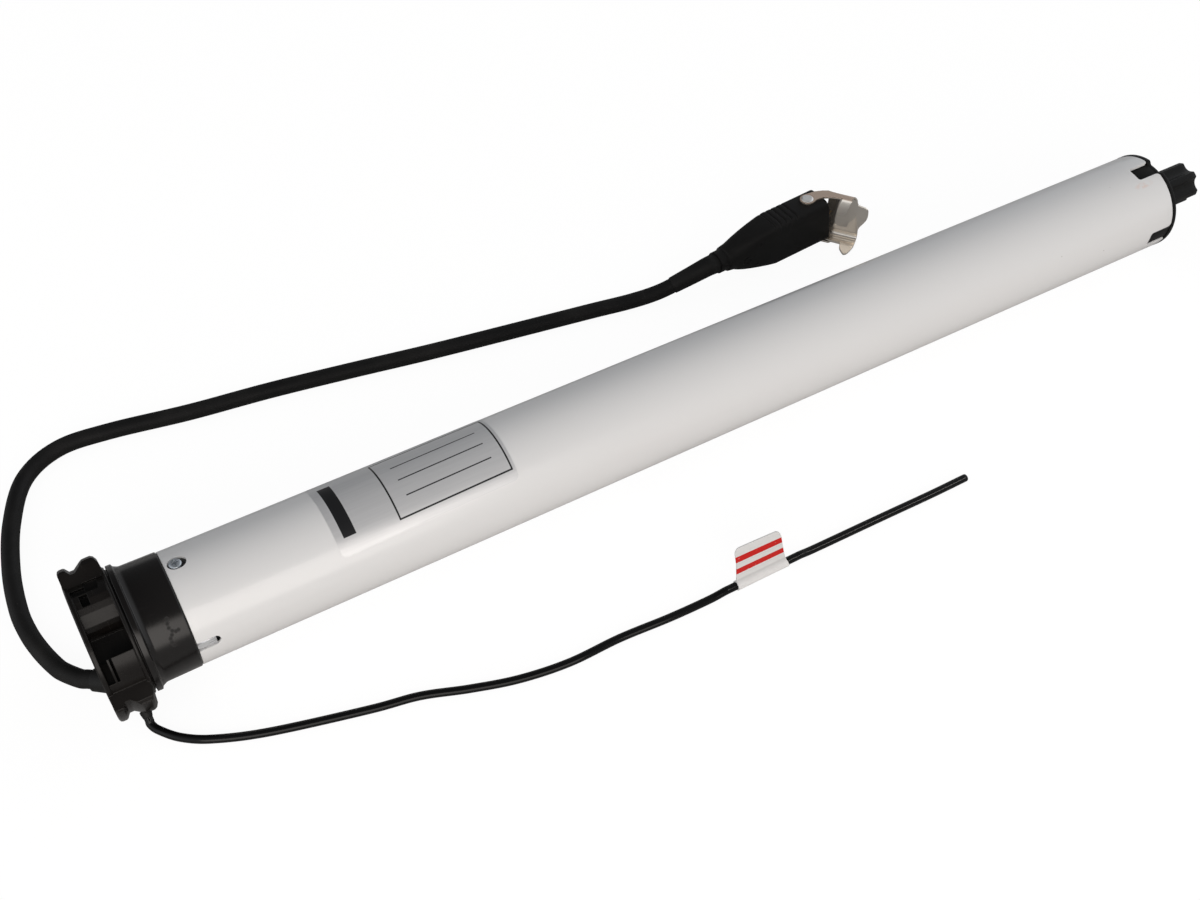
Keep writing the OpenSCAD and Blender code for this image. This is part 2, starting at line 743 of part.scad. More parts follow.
module plug_housing() {
    rib_count = 5;
    rib_set = 19;
    rib_pitch = 3.4;
    rib_w = 1.3;
    rib_out = 0.5;
    rib_end = 4;
    rib_h = plug_h - 2 * rib_end;
    color("#1e1d1c") at_plug() difference() {
        union() {
            hull() {
                plug_block(0, plug_shoulder, plug_w, plug_h, plug_round);
                translate([neck_len - plug_len, 0, 0]) rotate([0, 90, 0])
                    cylinder(d = neck_d, h = 1, $fn = 32);
            }
            translate([-plug_len, 0, 0]) rotate([0, 90, 0]) cylinder(d = neck_d, h = neck_len + 1);
            for (i = [0 : rib_count - 1], s = [-1, 1])
                translate([-rib_set - i * rib_pitch, s * plug_w / 2, 0])
                    cube([rib_w, 2 * rib_out, rib_h], center = true);
        }
        translate([-insert_len, -insert_w / 2 - push_gap, -insert_h / 2 - push_gap])
            cube([insert_len + over, insert_w + 2 * push_gap, insert_h + 2 * push_gap]);
        for (s = [-1, 1]) translate([-pivot_set, 0, s * plug_h / 2])
            cylinder(d = rivet_d, h = 2 * rivet_in, center = true);
    }
}

// Contact carrier, flush with the front, with one socket for each contact
module plug_insert() {
    color("#2b2a28") at_plug() difference() {
        translate([-insert_len, -insert_w / 2, -insert_h / 2]) cube([insert_len, insert_w, insert_h]);
        at_contacts() cylinder(d = contact_d + 2 * push_gap, h = contact_len + over);
        for (s = [-1, 1]) translate([-pivot_set, 0, s * plug_h / 2])
            cylinder(d = rivet_d + 1, h = 2 * rivet_in + 1, center = true);
    }
}

module at_contacts() {
    for (y = [-1, 1], z = [-1, 1])
        translate([-contact_len, y * contact_pitch[0] / 2, z * contact_pitch[1] / 2])
            rotate([0, 90, 0]) children();
}

module plug_contacts() {
    color("#c8a45a") at_plug() at_contacts() pipe(contact_d / 2, contact_bore_d / 2, contact_len - 1);
}

// Bail: two arms on the rivets, joined by an upright web with a thumb tab and a hook
module bail_arm(hooked) {
    difference() {
        union() {
            cylinder(r = bail_eye_r, h = bail_t);
            linear_extrude(bail_t) polygon(arm_outline);
            if (hooked) linear_extrude(bail_t) polygon(hook_outline);
        }
        translate([0, 0, -over]) cylinder(d = rivet_d + 2 * running_clear, h = bail_t + 2 * over);
    }
}

module locking_bail() {
    arm_z = plug_h / 2 + bail_clear;
    web = web_to - web_from;
    web_len = norm(web);
    web_turn = atan2(web[1], web[0]);
    web_h = 2 * arm_z + 2 * bail_t;
    color("#b5aea4") at_plug() translate([-pivot_set, 0, 0]) {
        translate([0, 0, arm_z]) bail_arm(false);
        translate([0, 0, -arm_z - bail_t]) bail_arm(true);
        translate(web_from) rotate([0, 0, web_turn]) {
            translate([0, -bail_t, -web_h / 2]) cube([web_len, bail_t, web_h]);
            translate([web_len - 1, 0, 0]) rotate([90, 0, 0]) intersection() {
                cylinder(r = bail_tab_r, h = bail_t);
                translate([0, -bail_tab_r, -over]) cube([bail_tab_r, 2 * bail_tab_r, bail_t + 2 * over]);
            }
            translate([spring_lug_place[0], 0.1 - bail_t - spring_lug[1], spring_lug_place[1]])
                cube(spring_lug);
        }
    }
}

module bail_rivets() {
    color("#c2c0bc") at_plug() for (s = [0, 1]) mirror([0, 0, s]) translate([-pivot_set, 0, plug_h / 2]) {
        head_z = bail_clear + bail_t + push_gap;
        dome = 0.8;
        translate([0, 0, 0.1 - rivet_in]) cylinder(d = rivet_d - 2 * push_gap, h = rivet_in + head_z);
        translate([0, 0, head_z])
            cylinder(d1 = rivet_head_d, d2 = rivet_head_d - 2 * dome, h = rivet_head_t - 0.05);
    }
}

module aerial_grommet() {
    color("#242322") radial(head_x + aerial_set, aerial_phi) {
        translate([0, 0, lug_reach - grommet_in]) cylinder(d = grommet_d, h = grommet_in);
        translate([0, 0, lug_reach]) cylinder(d1 = grommet_d, d2 = wire_d + 1, h = grommet_out);
    }
}

module aerial_wire() {
    color("#242322") tube_along(smooth(wire_route, 2), wire_d / 2, 8);
}

// Tag: a sleeve round the wire with a flag that stands up from it
module aerial_tag() {
    sleeve_r = wire_d / 2 + push_gap + tag_wrap;
    color("#eeeeec") translate([tag_x - tag_w / 2, tag_y, tag_lift]) difference() {
        union() {
            rotate([0, 90, 0]) cylinder(r = sleeve_r, h = tag_w);
            rotate([-tag_lean, 0, 0]) translate([0, -tag_t / 2, 0]) cube([tag_w, tag_t, tag_h]);
        }
        translate([-over, 0, 0]) rotate([0, 90, 0])
            cylinder(r = wire_d / 2 + push_gap, h = tag_w + 2 * over);
    }
}

// Cradle: a half shell with rails for the board and saddles for the capacitor
module board_cradle() {
    rail_z = axis_z - board_drop - rail_h;
    color("#3a3a3c") difference() {
        union() {
            difference() {
                along(cradle_x) pipe(inner_r, inner_r - cradle_wall, cradle_len);
                translate([cradle_x - over, -tube_d, axis_z])
                    cube([cradle_len + 2 * over, 2 * tube_d, tube_d]);
            }
            intersection() {
                along(cradle_x) cylinder(r = inner_r - cradle_wall / 2, h = cradle_len);
                union() {
                    for (s = [-1, 1]) translate([board_x, s * (board_y - rail_w / 2) - rail_w / 2, rail_z])
                        cube([board_len, rail_w, rail_h]);
                    for (s = [-1, 1]) translate([board_x, s * board_y - rail_w / 2, rail_z + 1 - post_h])
                        cube([board_len, rail_w, post_h]);
                    for (x = [capacitor_x + saddle_set, capacitor_x + capacitor_len - saddle_set - saddle_t])
                        translate([x, -tube_d / 2, 0]) cube([saddle_t, tube_d, axis_z]);
                }
            }
        }
        along(capacitor_x - over) cylinder(d = capacitor_d + 2 * push_gap, h = capacitor_len + 2 * over);
    }
}

module control_board() {
    color("#2f6b45") translate([board_x, -board_w / 2, board_z]) cube([board_len, board_w, board_t]);
}

module relays() {
    color("#1f3f78") for (i = [0, 1])
        translate([board_x + relay_place[0] + i * (relay[0] + relay_gap), relay_place[1] - relay[1] / 2,
            board_z + board_t]) cube(relay);
}

module radio_module() {
    color("#b8babd") translate([board_x + radio_set, -radio_can[1] / 2, board_z + board_t]) cube(radio_can);
}

module terminal_block() {
    first = (terminal[1] - (terminal_ways - 1) * way_pitch) / 2;
    color("#3f8f5a") translate([board_x + terminal_set, -terminal[1] / 2, board_z + board_t]) difference() {
        cube(terminal);
        for (i = [0 : terminal_ways - 1])
            translate([terminal[0] / 2, first + i * way_pitch, way_d])
                cylinder(d = way_d, h = terminal[2]);
    }
}

module run_capacitor() {
    stud_d = 8;
    crimp = 2;
    color("#d6d4cd") along(capacitor_x) {
        cylinder(d = capacitor_d, h = capacitor_len - crimp);
        translate([0, 0, capacitor_len - crimp])
            cylinder(d1 = capacitor_d, d2 = capacitor_d - crimp, h = crimp);
        translate([0, 0, -stud_len]) cylinder(d = stud_d, h = stud_len);
    }
}

// End shield: disc with the bearing's seat, rim against the stator core
module end_shield() {
    difference() {
        cylinder(r = inner_r, h = shield_len);
        translate([0, 0, shield_disc_t]) cylinder(r = inner_r - shield_rim_t, h = shield_len);
        translate([0, 0, -over]) cylinder(d = bearing_d + 2 * push_gap, h = shield_disc_t + 2 * over);
        for (a = [0 : 90 : 270]) rotate([0, 0, a + 45])
            translate([shield_hole_set, 0, -over])
                cylinder(r = shield_hole_r, h = shield_disc_t + 2 * over);
    }
}

module bearing() {
    difference() {
        cylinder(d = bearing_d, h = shield_disc_t);
        translate([0, 0, -over]) cylinder(r = shaft_r + running_clear, h = shield_disc_t + 2 * over);
    }
}

module facing_head(x) {
    along(x) mirror([0, 0, 1]) children();
}

module rear_shield() {
    color("#a9abac") along(rear_shield_x) end_shield();
}

module rear_bearing() {
    color("#b8924f") along(rear_shield_x) bearing();
}

module front_shield() {
    color("#a9abac") facing_head(brake_x) end_shield();
}

module front_bearing() {
    color("#b8924f") facing_head(brake_x) bearing();
}

// Slots of the stator: a throat to the bore and a round-bottomed pocket
module stator_slot_cut(shrink, len) {
    slot_half = stator_bore_d / 2 * sin(180 / stator_slots) - tooth_half - shrink;
    slot_r = stator_bore_d / 2 + tooth_tip;
    translate([slot_r + shrink, -slot_half, 0])
        cube([slot_depth - slot_half - 2 * shrink, 2 * slot_half, len]);
    translate([slot_r + slot_depth - slot_half - shrink, 0, 0]) cylinder(r = slot_half, h = len);
}

module stator_core() {
    color("#7c7f82") along(stator_x) difference() {
        pipe(inner_r, stator_bore_d / 2, stator_len);
        for (i = [0 : stator_slots - 1]) rotate([0, 0, 360 * i / stator_slots]) {
            translate([0, 0, -over]) stator_slot_cut(0, stator_len + 2 * over);
            translate([0, -throat_w / 2, -over])
                cube([stator_bore_d / 2 + 2 * tooth_tip, throat_w, stator_len + 2 * over]);
        }
    }
}

// Winding: bars in the slots, joined by the end turns
module stator_winding() {
    end_turn = shield_len - shield_disc_t - 1;
    bar_gap = 0.15;
    inner = stator_bore_d / 2 + tooth_tip + bar_gap;
    color("#b5673a") along(stator_x) {
        for (i = [0 : stator_slots - 1]) rotate([0, 0, 360 * i / stator_slots])
            translate([0, 0, -end_turn / 2]) stator_slot_cut(bar_gap, stator_len + end_turn);
        for (z = [-end_turn, stator_len + bar_gap])
            translate([0, 0, z]) pipe(winding_r, inner, end_turn - bar_gap);
    }
}

module rotor_core() {
    color("#6f7275") along(stator_x) pipe(rotor_r, shaft_r + push_gap, stator_len);
}

// Rotor shaft, from the rear bearing to the first sun
module rotor_shaft() {
    sun_x = planet_1_x;
    color("#c4c6c8") {
        along(rear_shield_x) cylinder(r = shaft_r, h = sun_x - rear_shield_x);
        along(sun_x) gear(sun_teeth, face_1);
    }
}

module brake_coil() {
    color("#4d4f52") along(brake_x) difference() {
        cylinder(r = inner_r, h = brake_len - end_float);
        translate([0, 0, coil_len]) cylinder(r = armature_r + running_clear, h = brake_len);
        for (i = [0 : brake_keys - 1]) rotate([0, 0, 360 * i / brake_keys])
            translate([armature_r - brake_key_w, -brake_key_w / 2 - running_clear, coil_len])
                cube([inner_r - brake_key_wall - armature_r + brake_key_w,
                    brake_key_w + 2 * running_clear, brake_len]);
        translate([0, 0, coil_len - spring_len])
            cylinder(r = spring_r + spring_wall + push_gap, h = brake_len);
        translate([0, 0, -over]) cylinder(r = shaft_r + brake_shaft_gap, h = brake_len);
    }
}

module brake_spring() {
    color("#9a9da0") along(brake_x + coil_len - spring_len)
        pipe(spring_r + spring_wall, spring_r, spring_len);
}

// Armature: keyed to the coil body, slides along the shaft
module brake_armature() {
    color("#5d6063") along(armature_x) difference() {
        union() {
            cylinder(r = armature_r, h = armature_t);
            for (i = [0 : brake_keys - 1]) rotate([0, 0, 360 * i / brake_keys])
                translate([armature_r - brake_key_w, -brake_key_w / 2, 0])
                    cube([inner_r - brake_key_wall - brake_key_gap - armature_r + brake_key_w,
                        brake_key_w, armature_t]);
        }
        translate([0, 0, -over]) cylinder(r = shaft_r + brake_shaft_gap, h = armature_t + 2 * over);
    }
}

module brake_disc() {
    color("#3c3a36") along(brake_disc_x) pipe(armature_r - 1, shaft_r + push_gap, brake_disc_t);
}

module gear_plate() {
    color("#8d9092") along(gear_x) pipe(inner_r, sun_r + addendum + end_float, gear_plate_t);
}

// Internal gear of all three stages
module gear_housing() {
    len = cap_in_x - gear_x - gear_plate_t;
    color("#595c60") along(gear_x + gear_plate_t) difference() {
        cylinder(r = inner_r, h = len);
        translate([0, 0, -over]) linear_extrude(len + 2 * over)
            polygon(gear_outline(ring_teeth, -backlash / 2, dedendum, addendum));
    }
}

module planet(x, face, index) {
    color("#d9d4c6") along(x) rotate([0, 0, 360 * index / planet_count])
        translate([centre_r, 0, 0]) difference() {
            gear(planet_teeth, face);
            translate([0, 0, -over]) cylinder(d = planet_pin_d + 2 * running_clear, h = face + 2 * over);
        }
}

// Carrier: pins towards the head, and the next stage's sun away from it
module carrier(x, face) {
    along(x) {
        cylinder(r = carrier_r, h = carrier_t);
        for (i = [0 : planet_count - 1]) rotate([0, 0, 360 * i / planet_count])
            translate([centre_r, 0, -face]) cylinder(d = planet_pin_d, h = face);
    }
}

module planet_1a() { planet(planet_1_x, face_1, 0); }
module planet_1b() { planet(planet_1_x, face_1, 1); }
module planet_1c() { planet(planet_1_x, face_1, 2); }
module planet_2a() { planet(planet_2_x, face_2, 0); }
module planet_2b() { planet(planet_2_x, face_2, 1); }
module planet_2c() { planet(planet_2_x, face_2, 2); }
module planet_3a() { planet(planet_3_x, face_3, 0); }
module planet_3b() { planet(planet_3_x, face_3, 1); }
module planet_3c() { planet(planet_3_x, face_3, 2); }

module carrier_1() {
    color("#a5a8aa") {
        carrier(carrier_1_x, face_1);
        along(carrier_1_x + carrier_t) gear(sun_teeth, face_2 + end_float);
    }
}

module carrier_2() {
    color("#a5a8aa") {
        carrier(carrier_2_x, face_2);
        along(carrier_2_x + carrier_t) gear(sun_teeth, face_3 + end_float);
    }
}

// The last carrier ends in the spindle that drives the output shaft
module carrier_3() {
    tip_len = shaft_out - shaft_wall;
    color("#a5a8aa") {
        carrier(carrier_3_x, face_3);
        along(carrier_3_x + carrier_t) cylinder(d = spindle_d, h = cap_x - carrier_3_x - carrier_t);
        along(cap_x) difference() {
            cylinder(d = spindle_tip_d, h = tip_len);
            translate([0, 0, tip_len - shaft_screw_len])
                cylinder(d = shaft_screw_d, h = shaft_screw_len + over);
        }
    }
}

module output_bush() {
    color("#b8924f") along(cap_in_x) pipe(bush_d / 2, spindle_d / 2 + running_clear, cap_in);
}

// End cap: plug in the tube, four tabs in the notches, a rim and a sloping face
module end_cap() {
    rim_set = 0.3;
    rim_r = tube_r - rim_set;
    tab_gap = 0.1;
    color("#191a1a") difference() {
        union() {
            along(cap_in_x) cylinder(r = inner_r, h = cap_in);
            along(tube_end_x + push_gap) rotate_extrude() polygon([
                [0, 0], [rim_r, 0], [rim_r, cap_rim - 2 * edge - push_gap],
                [rim_r - edge, cap_rim - edge / 2 - push_gap], [rim_r - 2 * edge, cap_rim - push_gap],
                [0, cap_rim - push_gap]
            ]);
            for (quarter = [0 : 90 : 270]) along(tube_end_x + push_gap, notch_phi + quarter) intersection() {
                notch_cut(notch_w - 2 * tab_gap, notch_len - tab_gap, notch_round - tab_gap);
                translate([0, 0, -notch_len]) cylinder(r = tube_r - 0.05, h = notch_len);
            }
        }
        along(cap_in_x - over) cylinder(d = bush_d + 2 * push_gap, h = cap_in + over);
        along(cap_in_x) cylinder(d = spindle_d + 1, h = cap_in + cap_rim + over);
    }
}

// Output shaft: a drafted bar with a flute between each pair of lobes
module output_shaft() {
    draft = 0.4;
    collar_h = 1.4;
    collar_out = [1.5, 0.5];
    tip_edge = 1;
    flute_set = 0.8;
    lobe_phi = 53;
    len = shaft_out - end_float;
    color("#1a1a1a") along(cap_x + end_float, lobe_phi) difference() {
        union() {
            cylinder(d1 = shaft_d + 2 * draft, d2 = shaft_d, h = len - tip_edge);
            translate([0, 0, len - tip_edge])
                cylinder(d1 = shaft_d, d2 = shaft_d - 2 * tip_edge, h = tip_edge);
            cylinder(d1 = shaft_d + 2 * collar_out[0], d2 = shaft_d + 2 * collar_out[1], h = collar_h);
        }
        for (i = [0 : shaft_lobes - 1]) rotate([0, 0, 360 * (i + 0.5) / shaft_lobes])
            translate([shaft_d / 2 + flute_set, 0, collar_h]) cylinder(d = flute_d, h = shaft_out);
        translate([0, 0, -over])
            cylinder(d = spindle_tip_d + 2 * push_gap, h = shaft_out - shaft_wall + over);
        cylinder(d = shaft_screw_d + 2 * running_clear, h = shaft_out);
        translate([0, 0, len - shaft_recess[1]])
            cylinder(d = shaft_recess[0], h = shaft_recess[1] + over);
    }
}

module shaft_screw() {
    color("#c9cbcd") along(tip_x - shaft_recess[1]) difference() {
        union() {
            cylinder(d = shaft_screw_head[0], h = shaft_screw_head[1]);
            translate([0, 0, -shaft_screw_len])
                cylinder(d = shaft_screw_d - 2 * push_gap, h = shaft_screw_len);
        }
        translate([0, 0, shaft_screw_head[1] - shaft_key_depth])
            cylinder(d = shaft_screw_d, h = shaft_key_depth + over, $fn = 6);
    }
}

drive_head();
head_spigot();
head_screws();
running_ring();
motor_tube();
tube_screws();
cord_gland();
power_cord();
plug_housing();
plug_insert();
plug_contacts();
locking_bail();
bail_rivets();
aerial_grommet();
aerial_wire();
aerial_tag();
board_cradle();
control_board();
relays();
radio_module();
terminal_block();
run_capacitor();
rear_shield();
rear_bearing();
stator_core();
stator_winding();
front_shield();
front_bearing();
rotor_core();
rotor_shaft();
brake_coil();
brake_spring();
brake_armature();
brake_disc();
gear_plate();
gear_housing();
planet_1a();
planet_1b();
planet_1c();
carrier_1();
planet_2a();
planet_2b();
planet_2c();
carrier_2();
planet_3a();
planet_3b();
planet_3c();
carrier_3();
output_bush();
end_cap();
output_shaft();
shaft_screw();
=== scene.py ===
"""Tubular roller blind motor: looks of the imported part, built as an add-on that is run as a script.

Lengths in the shape functions are millimetres; hand() turns them into metres.
X runs along the tube from the head to the shaft, Z is up, and phi is the direction round the tube,
0 at the front and 90 at the top.
"""

import math

import bmesh
import bpy
import numpy as np
from bpy.props import FloatProperty, FloatVectorProperty, PointerProperty
from bpy.types import Operator, Panel, PropertyGroup
from mathutils import Matrix, Vector


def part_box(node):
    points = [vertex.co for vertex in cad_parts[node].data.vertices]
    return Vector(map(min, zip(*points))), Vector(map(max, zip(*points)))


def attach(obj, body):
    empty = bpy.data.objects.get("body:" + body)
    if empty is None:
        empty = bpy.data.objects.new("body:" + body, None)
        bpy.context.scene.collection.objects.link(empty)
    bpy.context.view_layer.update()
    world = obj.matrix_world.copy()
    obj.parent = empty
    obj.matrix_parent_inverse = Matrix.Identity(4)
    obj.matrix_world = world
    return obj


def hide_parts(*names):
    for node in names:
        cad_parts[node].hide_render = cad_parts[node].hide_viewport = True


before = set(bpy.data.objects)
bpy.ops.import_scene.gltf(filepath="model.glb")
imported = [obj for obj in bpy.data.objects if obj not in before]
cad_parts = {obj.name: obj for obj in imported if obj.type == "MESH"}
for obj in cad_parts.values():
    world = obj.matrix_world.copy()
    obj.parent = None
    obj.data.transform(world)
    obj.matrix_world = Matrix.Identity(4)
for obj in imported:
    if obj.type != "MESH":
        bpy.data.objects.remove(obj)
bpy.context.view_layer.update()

bl_info = {
    "name": "Tubular blind motor",
    "version": (1, 0, 0),
    "blender": (4, 5, 0),
    "location": "View3D > Sidebar > Blind motor",
    "description": "Dresses the packed tubular motor with its finishes, leads, label and stage",
    "category": "Object",
}

MM = 0.001
FIXED = "motor"
UP = np.array([0, 0, 1.0])


def node_box(node):
    """Lowest and highest corner of a CAD node, in millimetres."""
    low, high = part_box(node)
    return np.array(low) / MM, np.array(high) / MM


TUBE_LOW, TUBE_HIGH = node_box("motor_tube")
TUBE_X = TUBE_LOW[0]
TUBE_END = TUBE_HIGH[0]
TUBE_R = (TUBE_HIGH[1] - TUBE_LOW[1]) / 2
AXIS_Z = (TUBE_HIGH[2] + TUBE_LOW[2]) / 2
TUBE_WALL = 1.2
BORE_R = TUBE_R - TUBE_WALL


# Settings

def colour(name, default, note):
    return FloatVectorProperty(name=name, description=note, subtype="COLOR", size=3, min=0, max=1,
                               default=default)


def number(name, default, note, **kind):
    return FloatProperty(name=name, description=note, default=default, min=0, **kind)


def length(name, default, note):
    return number(name, default, note, unit="LENGTH")


class TubeSettings(PropertyGroup):
    lacquer: colour("Lacquer", (0.79, 0.785, 0.78), "Colour of the tube's white lacquer")
    film: colour("Label film", (0.70, 0.70, 0.705), "Colour of the label's metallised film")
    ink: colour("Label ink", (0.006, 0.006, 0.007), "Colour of the label's frame and rules")
    edge: length("Edge", 0.00028, "Rounding of the lacquered edges")


class MouldingSettings(PropertyGroup):
    head: colour("Head", (0.0068, 0.0056, 0.0049), "Colour of the moulded head")
    ring: colour("Ring", (0.0056, 0.0048, 0.0044), "Colour of the running ring")
    cap: colour("Cap and shaft", (0.0041, 0.0040, 0.0039), "Colour of the end cap and the output shaft")
    plug: colour("Plug", (0.0052, 0.0050, 0.0048), "Colour of the plug housing")
    soft_edge: length("Soft edge", 0.0003, "Rounding that moulded edges show")


class LeadSettings(PropertyGroup):
    cord_d: length("Cord diameter", 0.0072, "Diameter of the power cord")
    wire_d: length("Wire diameter", 0.0033, "Diameter of the aerial wire")
    cord: colour("Cord", (0.0056, 0.0055, 0.0054), "Colour of the rubber cord")
    wire: colour("Wire", (0.0036, 0.0036, 0.0038), "Colour of the aerial wire")
    paper: colour("Tag", (0.77, 0.765, 0.755), "Colour of the tag's stock")
    band: colour("Tag bands", (0.56, 0.010, 0.008), "Colour of the tag's two printed bands")


class StageSettings(PropertyGroup):
    floor: colour("Floor", (0.56, 0.55, 0.54), "Colour of the floor")
    lens: number("Lens", 42.9, "Focal length for a sensor 36 mm wide", unit="CAMERA")
    sky: number("Sky", 0.11, "Strength of the light from all round")
    ends: number("Ends", 1.25, "Light added towards the tube's two ends")
    softbox: number("Softbox", 2.5, "Radiance of the front softbox")
    strip: number("Strip", 14.0, "Radiance of the strip that glints on the wire")


def settings(group):
    """One of the scene's groups of settings: tube, moulding, leads or stage."""
    return getattr(bpy.context.scene, f"blind_{group}")


# Shapes

def hand(points):
    """Millimetres to metres."""
    return np.asarray(points, float) * MM


def around(x, r, phi):
    """Points at station x, radius r and direction phi, in degrees, round the tube's axis."""
    x, r, phi = np.broadcast_arrays(np.asarray(x, float), r, np.radians(phi))
    return np.stack([x, -r * np.cos(phi), AXIS_Z + r * np.sin(phi)], -1)


def beside(phi, x, y, r):
    """Points about the direction phi, in degrees: station x, y along the girth and r out from the axis."""
    x, y, r = np.broadcast_arrays(np.asarray(x, float), y, r)
    p = math.radians(phi)
    out, girth = np.array([0, -math.cos(p), math.sin(p)]), np.array([0, math.sin(p), math.cos(p)])
    return AXIS_Z * UP + x[..., None] * [1, 0, 0] + y[..., None] * girth + r[..., None] * out


def full_turn(count):
    """Angles of a whole turn in equal steps."""
    return np.arange(count) * 2 * math.pi / count


def ease(t):
    """Smooth step from 0 to 1: t^2 (3 - 2 t), held before 0 and after 1."""
    t = np.clip(t, 0, 1)
    return t ** 2 * (3 - 2 * t)


def lattice(rows, cols, wrap_rows=False, wrap_cols=False):
    """Quads of a grid of points, where point (i, j) is number i * cols + j."""
    i = np.arange(rows if wrap_rows else rows - 1)
    j = np.arange(cols if wrap_cols else cols - 1)
    a, b = np.meshgrid(i, j, indexing="ij")
    up, across = (a + 1) % rows, (b + 1) % cols
    quads = np.stack([a * cols + b, a * cols + across, up * cols + across, up * cols + b], -1)
    return quads.reshape(-1, 4)


def hoop(grid):
    """Faces of a grid of points that closes on itself both ways."""
    return lattice(*grid.shape[:2], wrap_rows=True, wrap_cols=True)


def loft(rings):
    """Faces of closed rings joined one after another, with a flat face on each end."""
    rows, cols = rings.shape[:2]
    last = (rows - 1) * cols
    return lattice(rows, cols, wrap_cols=True).tolist() + [list(range(cols)), list(range(last, last + cols))]


def slab(rows, cols):
    """Faces of two equal grids, one behind the other, joined all round their edge."""
    top = lattice(rows, cols)
    rim = np.concatenate([np.arange(cols), np.arange(1, rows) * cols + cols - 1,
                          (rows - 1) * cols + np.arange(cols - 1)[::-1], np.arange(1, rows - 1)[::-1] * cols])
    step = np.roll(rim, -1)
    base = rows * cols
    skirt = np.stack([rim, rim + base, step + base, step], -1)
    return np.vstack([top, skirt, top[:, ::-1] + base])


def turned(outline, sides=160):
    """A closed outline of (station, radius) points revolved about the tube's axis."""
    phi = np.arange(sides) * 360 / sides
    rings = around(outline[None, :, 0], outline[None, :, 1], phi[:, None])
    return rings, hoop(rings)


def joined(shells):
    """Points and faces of several shells, each given as points and faces, as one mesh."""
    points, faces, base = [], [], 0
    for grid, quads in shells:
        flat = grid.reshape(-1, 3)
        points.append(flat)
        faces += [[int(k) + base for k in face] for face in quads]
        base += len(flat)
    return np.vstack(points), faces


def fillet(corners, radii, steps):
    """A closed outline with each corner replaced by an arc of its radius that touches both sides."""
    c = np.asarray(corners, float)
    r = np.broadcast_to(np.asarray(radii, float), len(c))[:, None]
    before, after = np.roll(c, 1, 0) - c, np.roll(c, -1, 0) - c
    reach_b = np.linalg.norm(before, axis=1, keepdims=True)
    reach_a = np.linalg.norm(after, axis=1, keepdims=True)
    before, after = before / reach_b, after / reach_a
    half = np.arccos(np.clip((before * after).sum(1, keepdims=True), -0.999999, 0.999999)) / 2
    cut = np.minimum(r / np.tan(half), 0.49 * np.minimum(reach_a, reach_b))
    t = np.linspace(0, 1, steps)[None, :, None]
    start, end, mid = (c + before * cut)[:, None], (c + after * cut)[:, None], c[:, None]
    bend = 2 * t * (1 - t) * np.sin(half)[:, None]
    share = (1 - t) ** 2 + bend + t ** 2
    return (((1 - t) ** 2 * start + bend * mid + t ** 2 * end) / share).reshape(-1, 2)


def smooth_route(route, steps):
    """Catmull-Rom curve through a route, with its ends run on straight."""
    p = np.asarray(route, float)
    q = np.vstack([2 * p[0] - p[1], p, 2 * p[-1] - p[-2]])
    t = (np.arange(steps) / steps)[None, :, None]
    p0, p1, p2, p3 = (q[k:len(q) - 3 + k][:, None] for k in range(4))
    curve = 0.5 * (2 * p1 + (p2 - p0) * t + (2 * p0 - 5 * p1 + 4 * p2 - p3) * t ** 2
                   + (3 * p1 - p0 - 3 * p2 + p3) * t ** 3)
    return np.vstack([curve.reshape(-1, 3), p[-1:]])


def run_length(path):
    """Distance along a path at each of its points."""
    return np.concatenate([[0], np.cumsum(np.linalg.norm(np.diff(path, axis=0), axis=1))])


def swept(path, radius, sides):
    """A circle carried along a path: ring points, and the same points on the straightened lead."""
    way = np.gradient(path, axis=0)
    way /= np.linalg.norm(way, axis=1, keepdims=True)
    side = np.cross(way, UP)
    side /= np.linalg.norm(side, axis=1, keepdims=True)
    up = np.cross(side, way)
    a = (np.arange(sides) + 0.5) * 2 * math.pi / sides
    r = np.broadcast_to(np.asarray(radius, float), len(path))[:, None, None]
    ring = np.cos(a)[None, :, None] * side[:, None] + np.sin(a)[None, :, None] * up[:, None]
    s = np.broadcast_to(run_length(path)[:, None], (len(path), sides))
    flat = np.stack([s, r[..., 0] * np.cos(a), r[..., 0] * np.sin(a)], -1)
    return path[:, None] + r * ring, flat


# Meshes

def solid(name, points, faces):
    """A closed mesh from points in millimetres, with its faces turned outwards."""
    mesh = bpy.data.meshes.new(name)
    mesh.from_pydata(hand(points).reshape(-1, 3).tolist(), [], [list(map(int, f)) for f in faces])
    work = bmesh.new()
    work.from_mesh(mesh)
    bmesh.ops.recalc_face_normals(work, faces=work.faces)
    work.to_mesh(mesh)
    work.free()
    return mesh


def smooth(mesh, sharp=35):
    """Smooth shading, apart from edges that bend by more than an angle in degrees."""
    mesh.shade_smooth()
    mesh.set_sharp_from_angle(angle=math.radians(sharp))


def coat(mesh, finish):
    """Gives a mesh its one finish."""
    mesh.materials.clear()
    mesh.materials.append(finish)


def put(name, data):
    """A new object in the scene."""
    obj = bpy.data.objects.new(name, data)
    bpy.context.scene.collection.objects.link(obj)
    return obj


def dress(name, mesh, finish, body=FIXED, slot=None, replaces=()):
    """Puts a mesh into the scene with its finish and its body, and hides the nodes that it replaces; its slot
    is not used.
    """
    obj = put(name, mesh)
    coat(mesh, finish)
    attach(obj, body)
    if replaces:
        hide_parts(*replaces)
    return obj


def piece(name, points, faces, finish, straight=None, sharp=35, **place):
    """A mesh in millimetres becomes a piece with a finish and a body, in place of the nodes that it replaces;
    its slot is not used.
    """
    mesh = solid(name, points, faces)
    if straight is not None:
        layer = mesh.attributes.new("straight", "FLOAT_VECTOR", "POINT")
        layer.data.foreach_set("vector", hand(straight).reshape(-1, 3).astype(np.float32).ravel())
    mesh.validate()
    smooth(mesh, sharp)
    return dress(name, mesh, finish, **place)


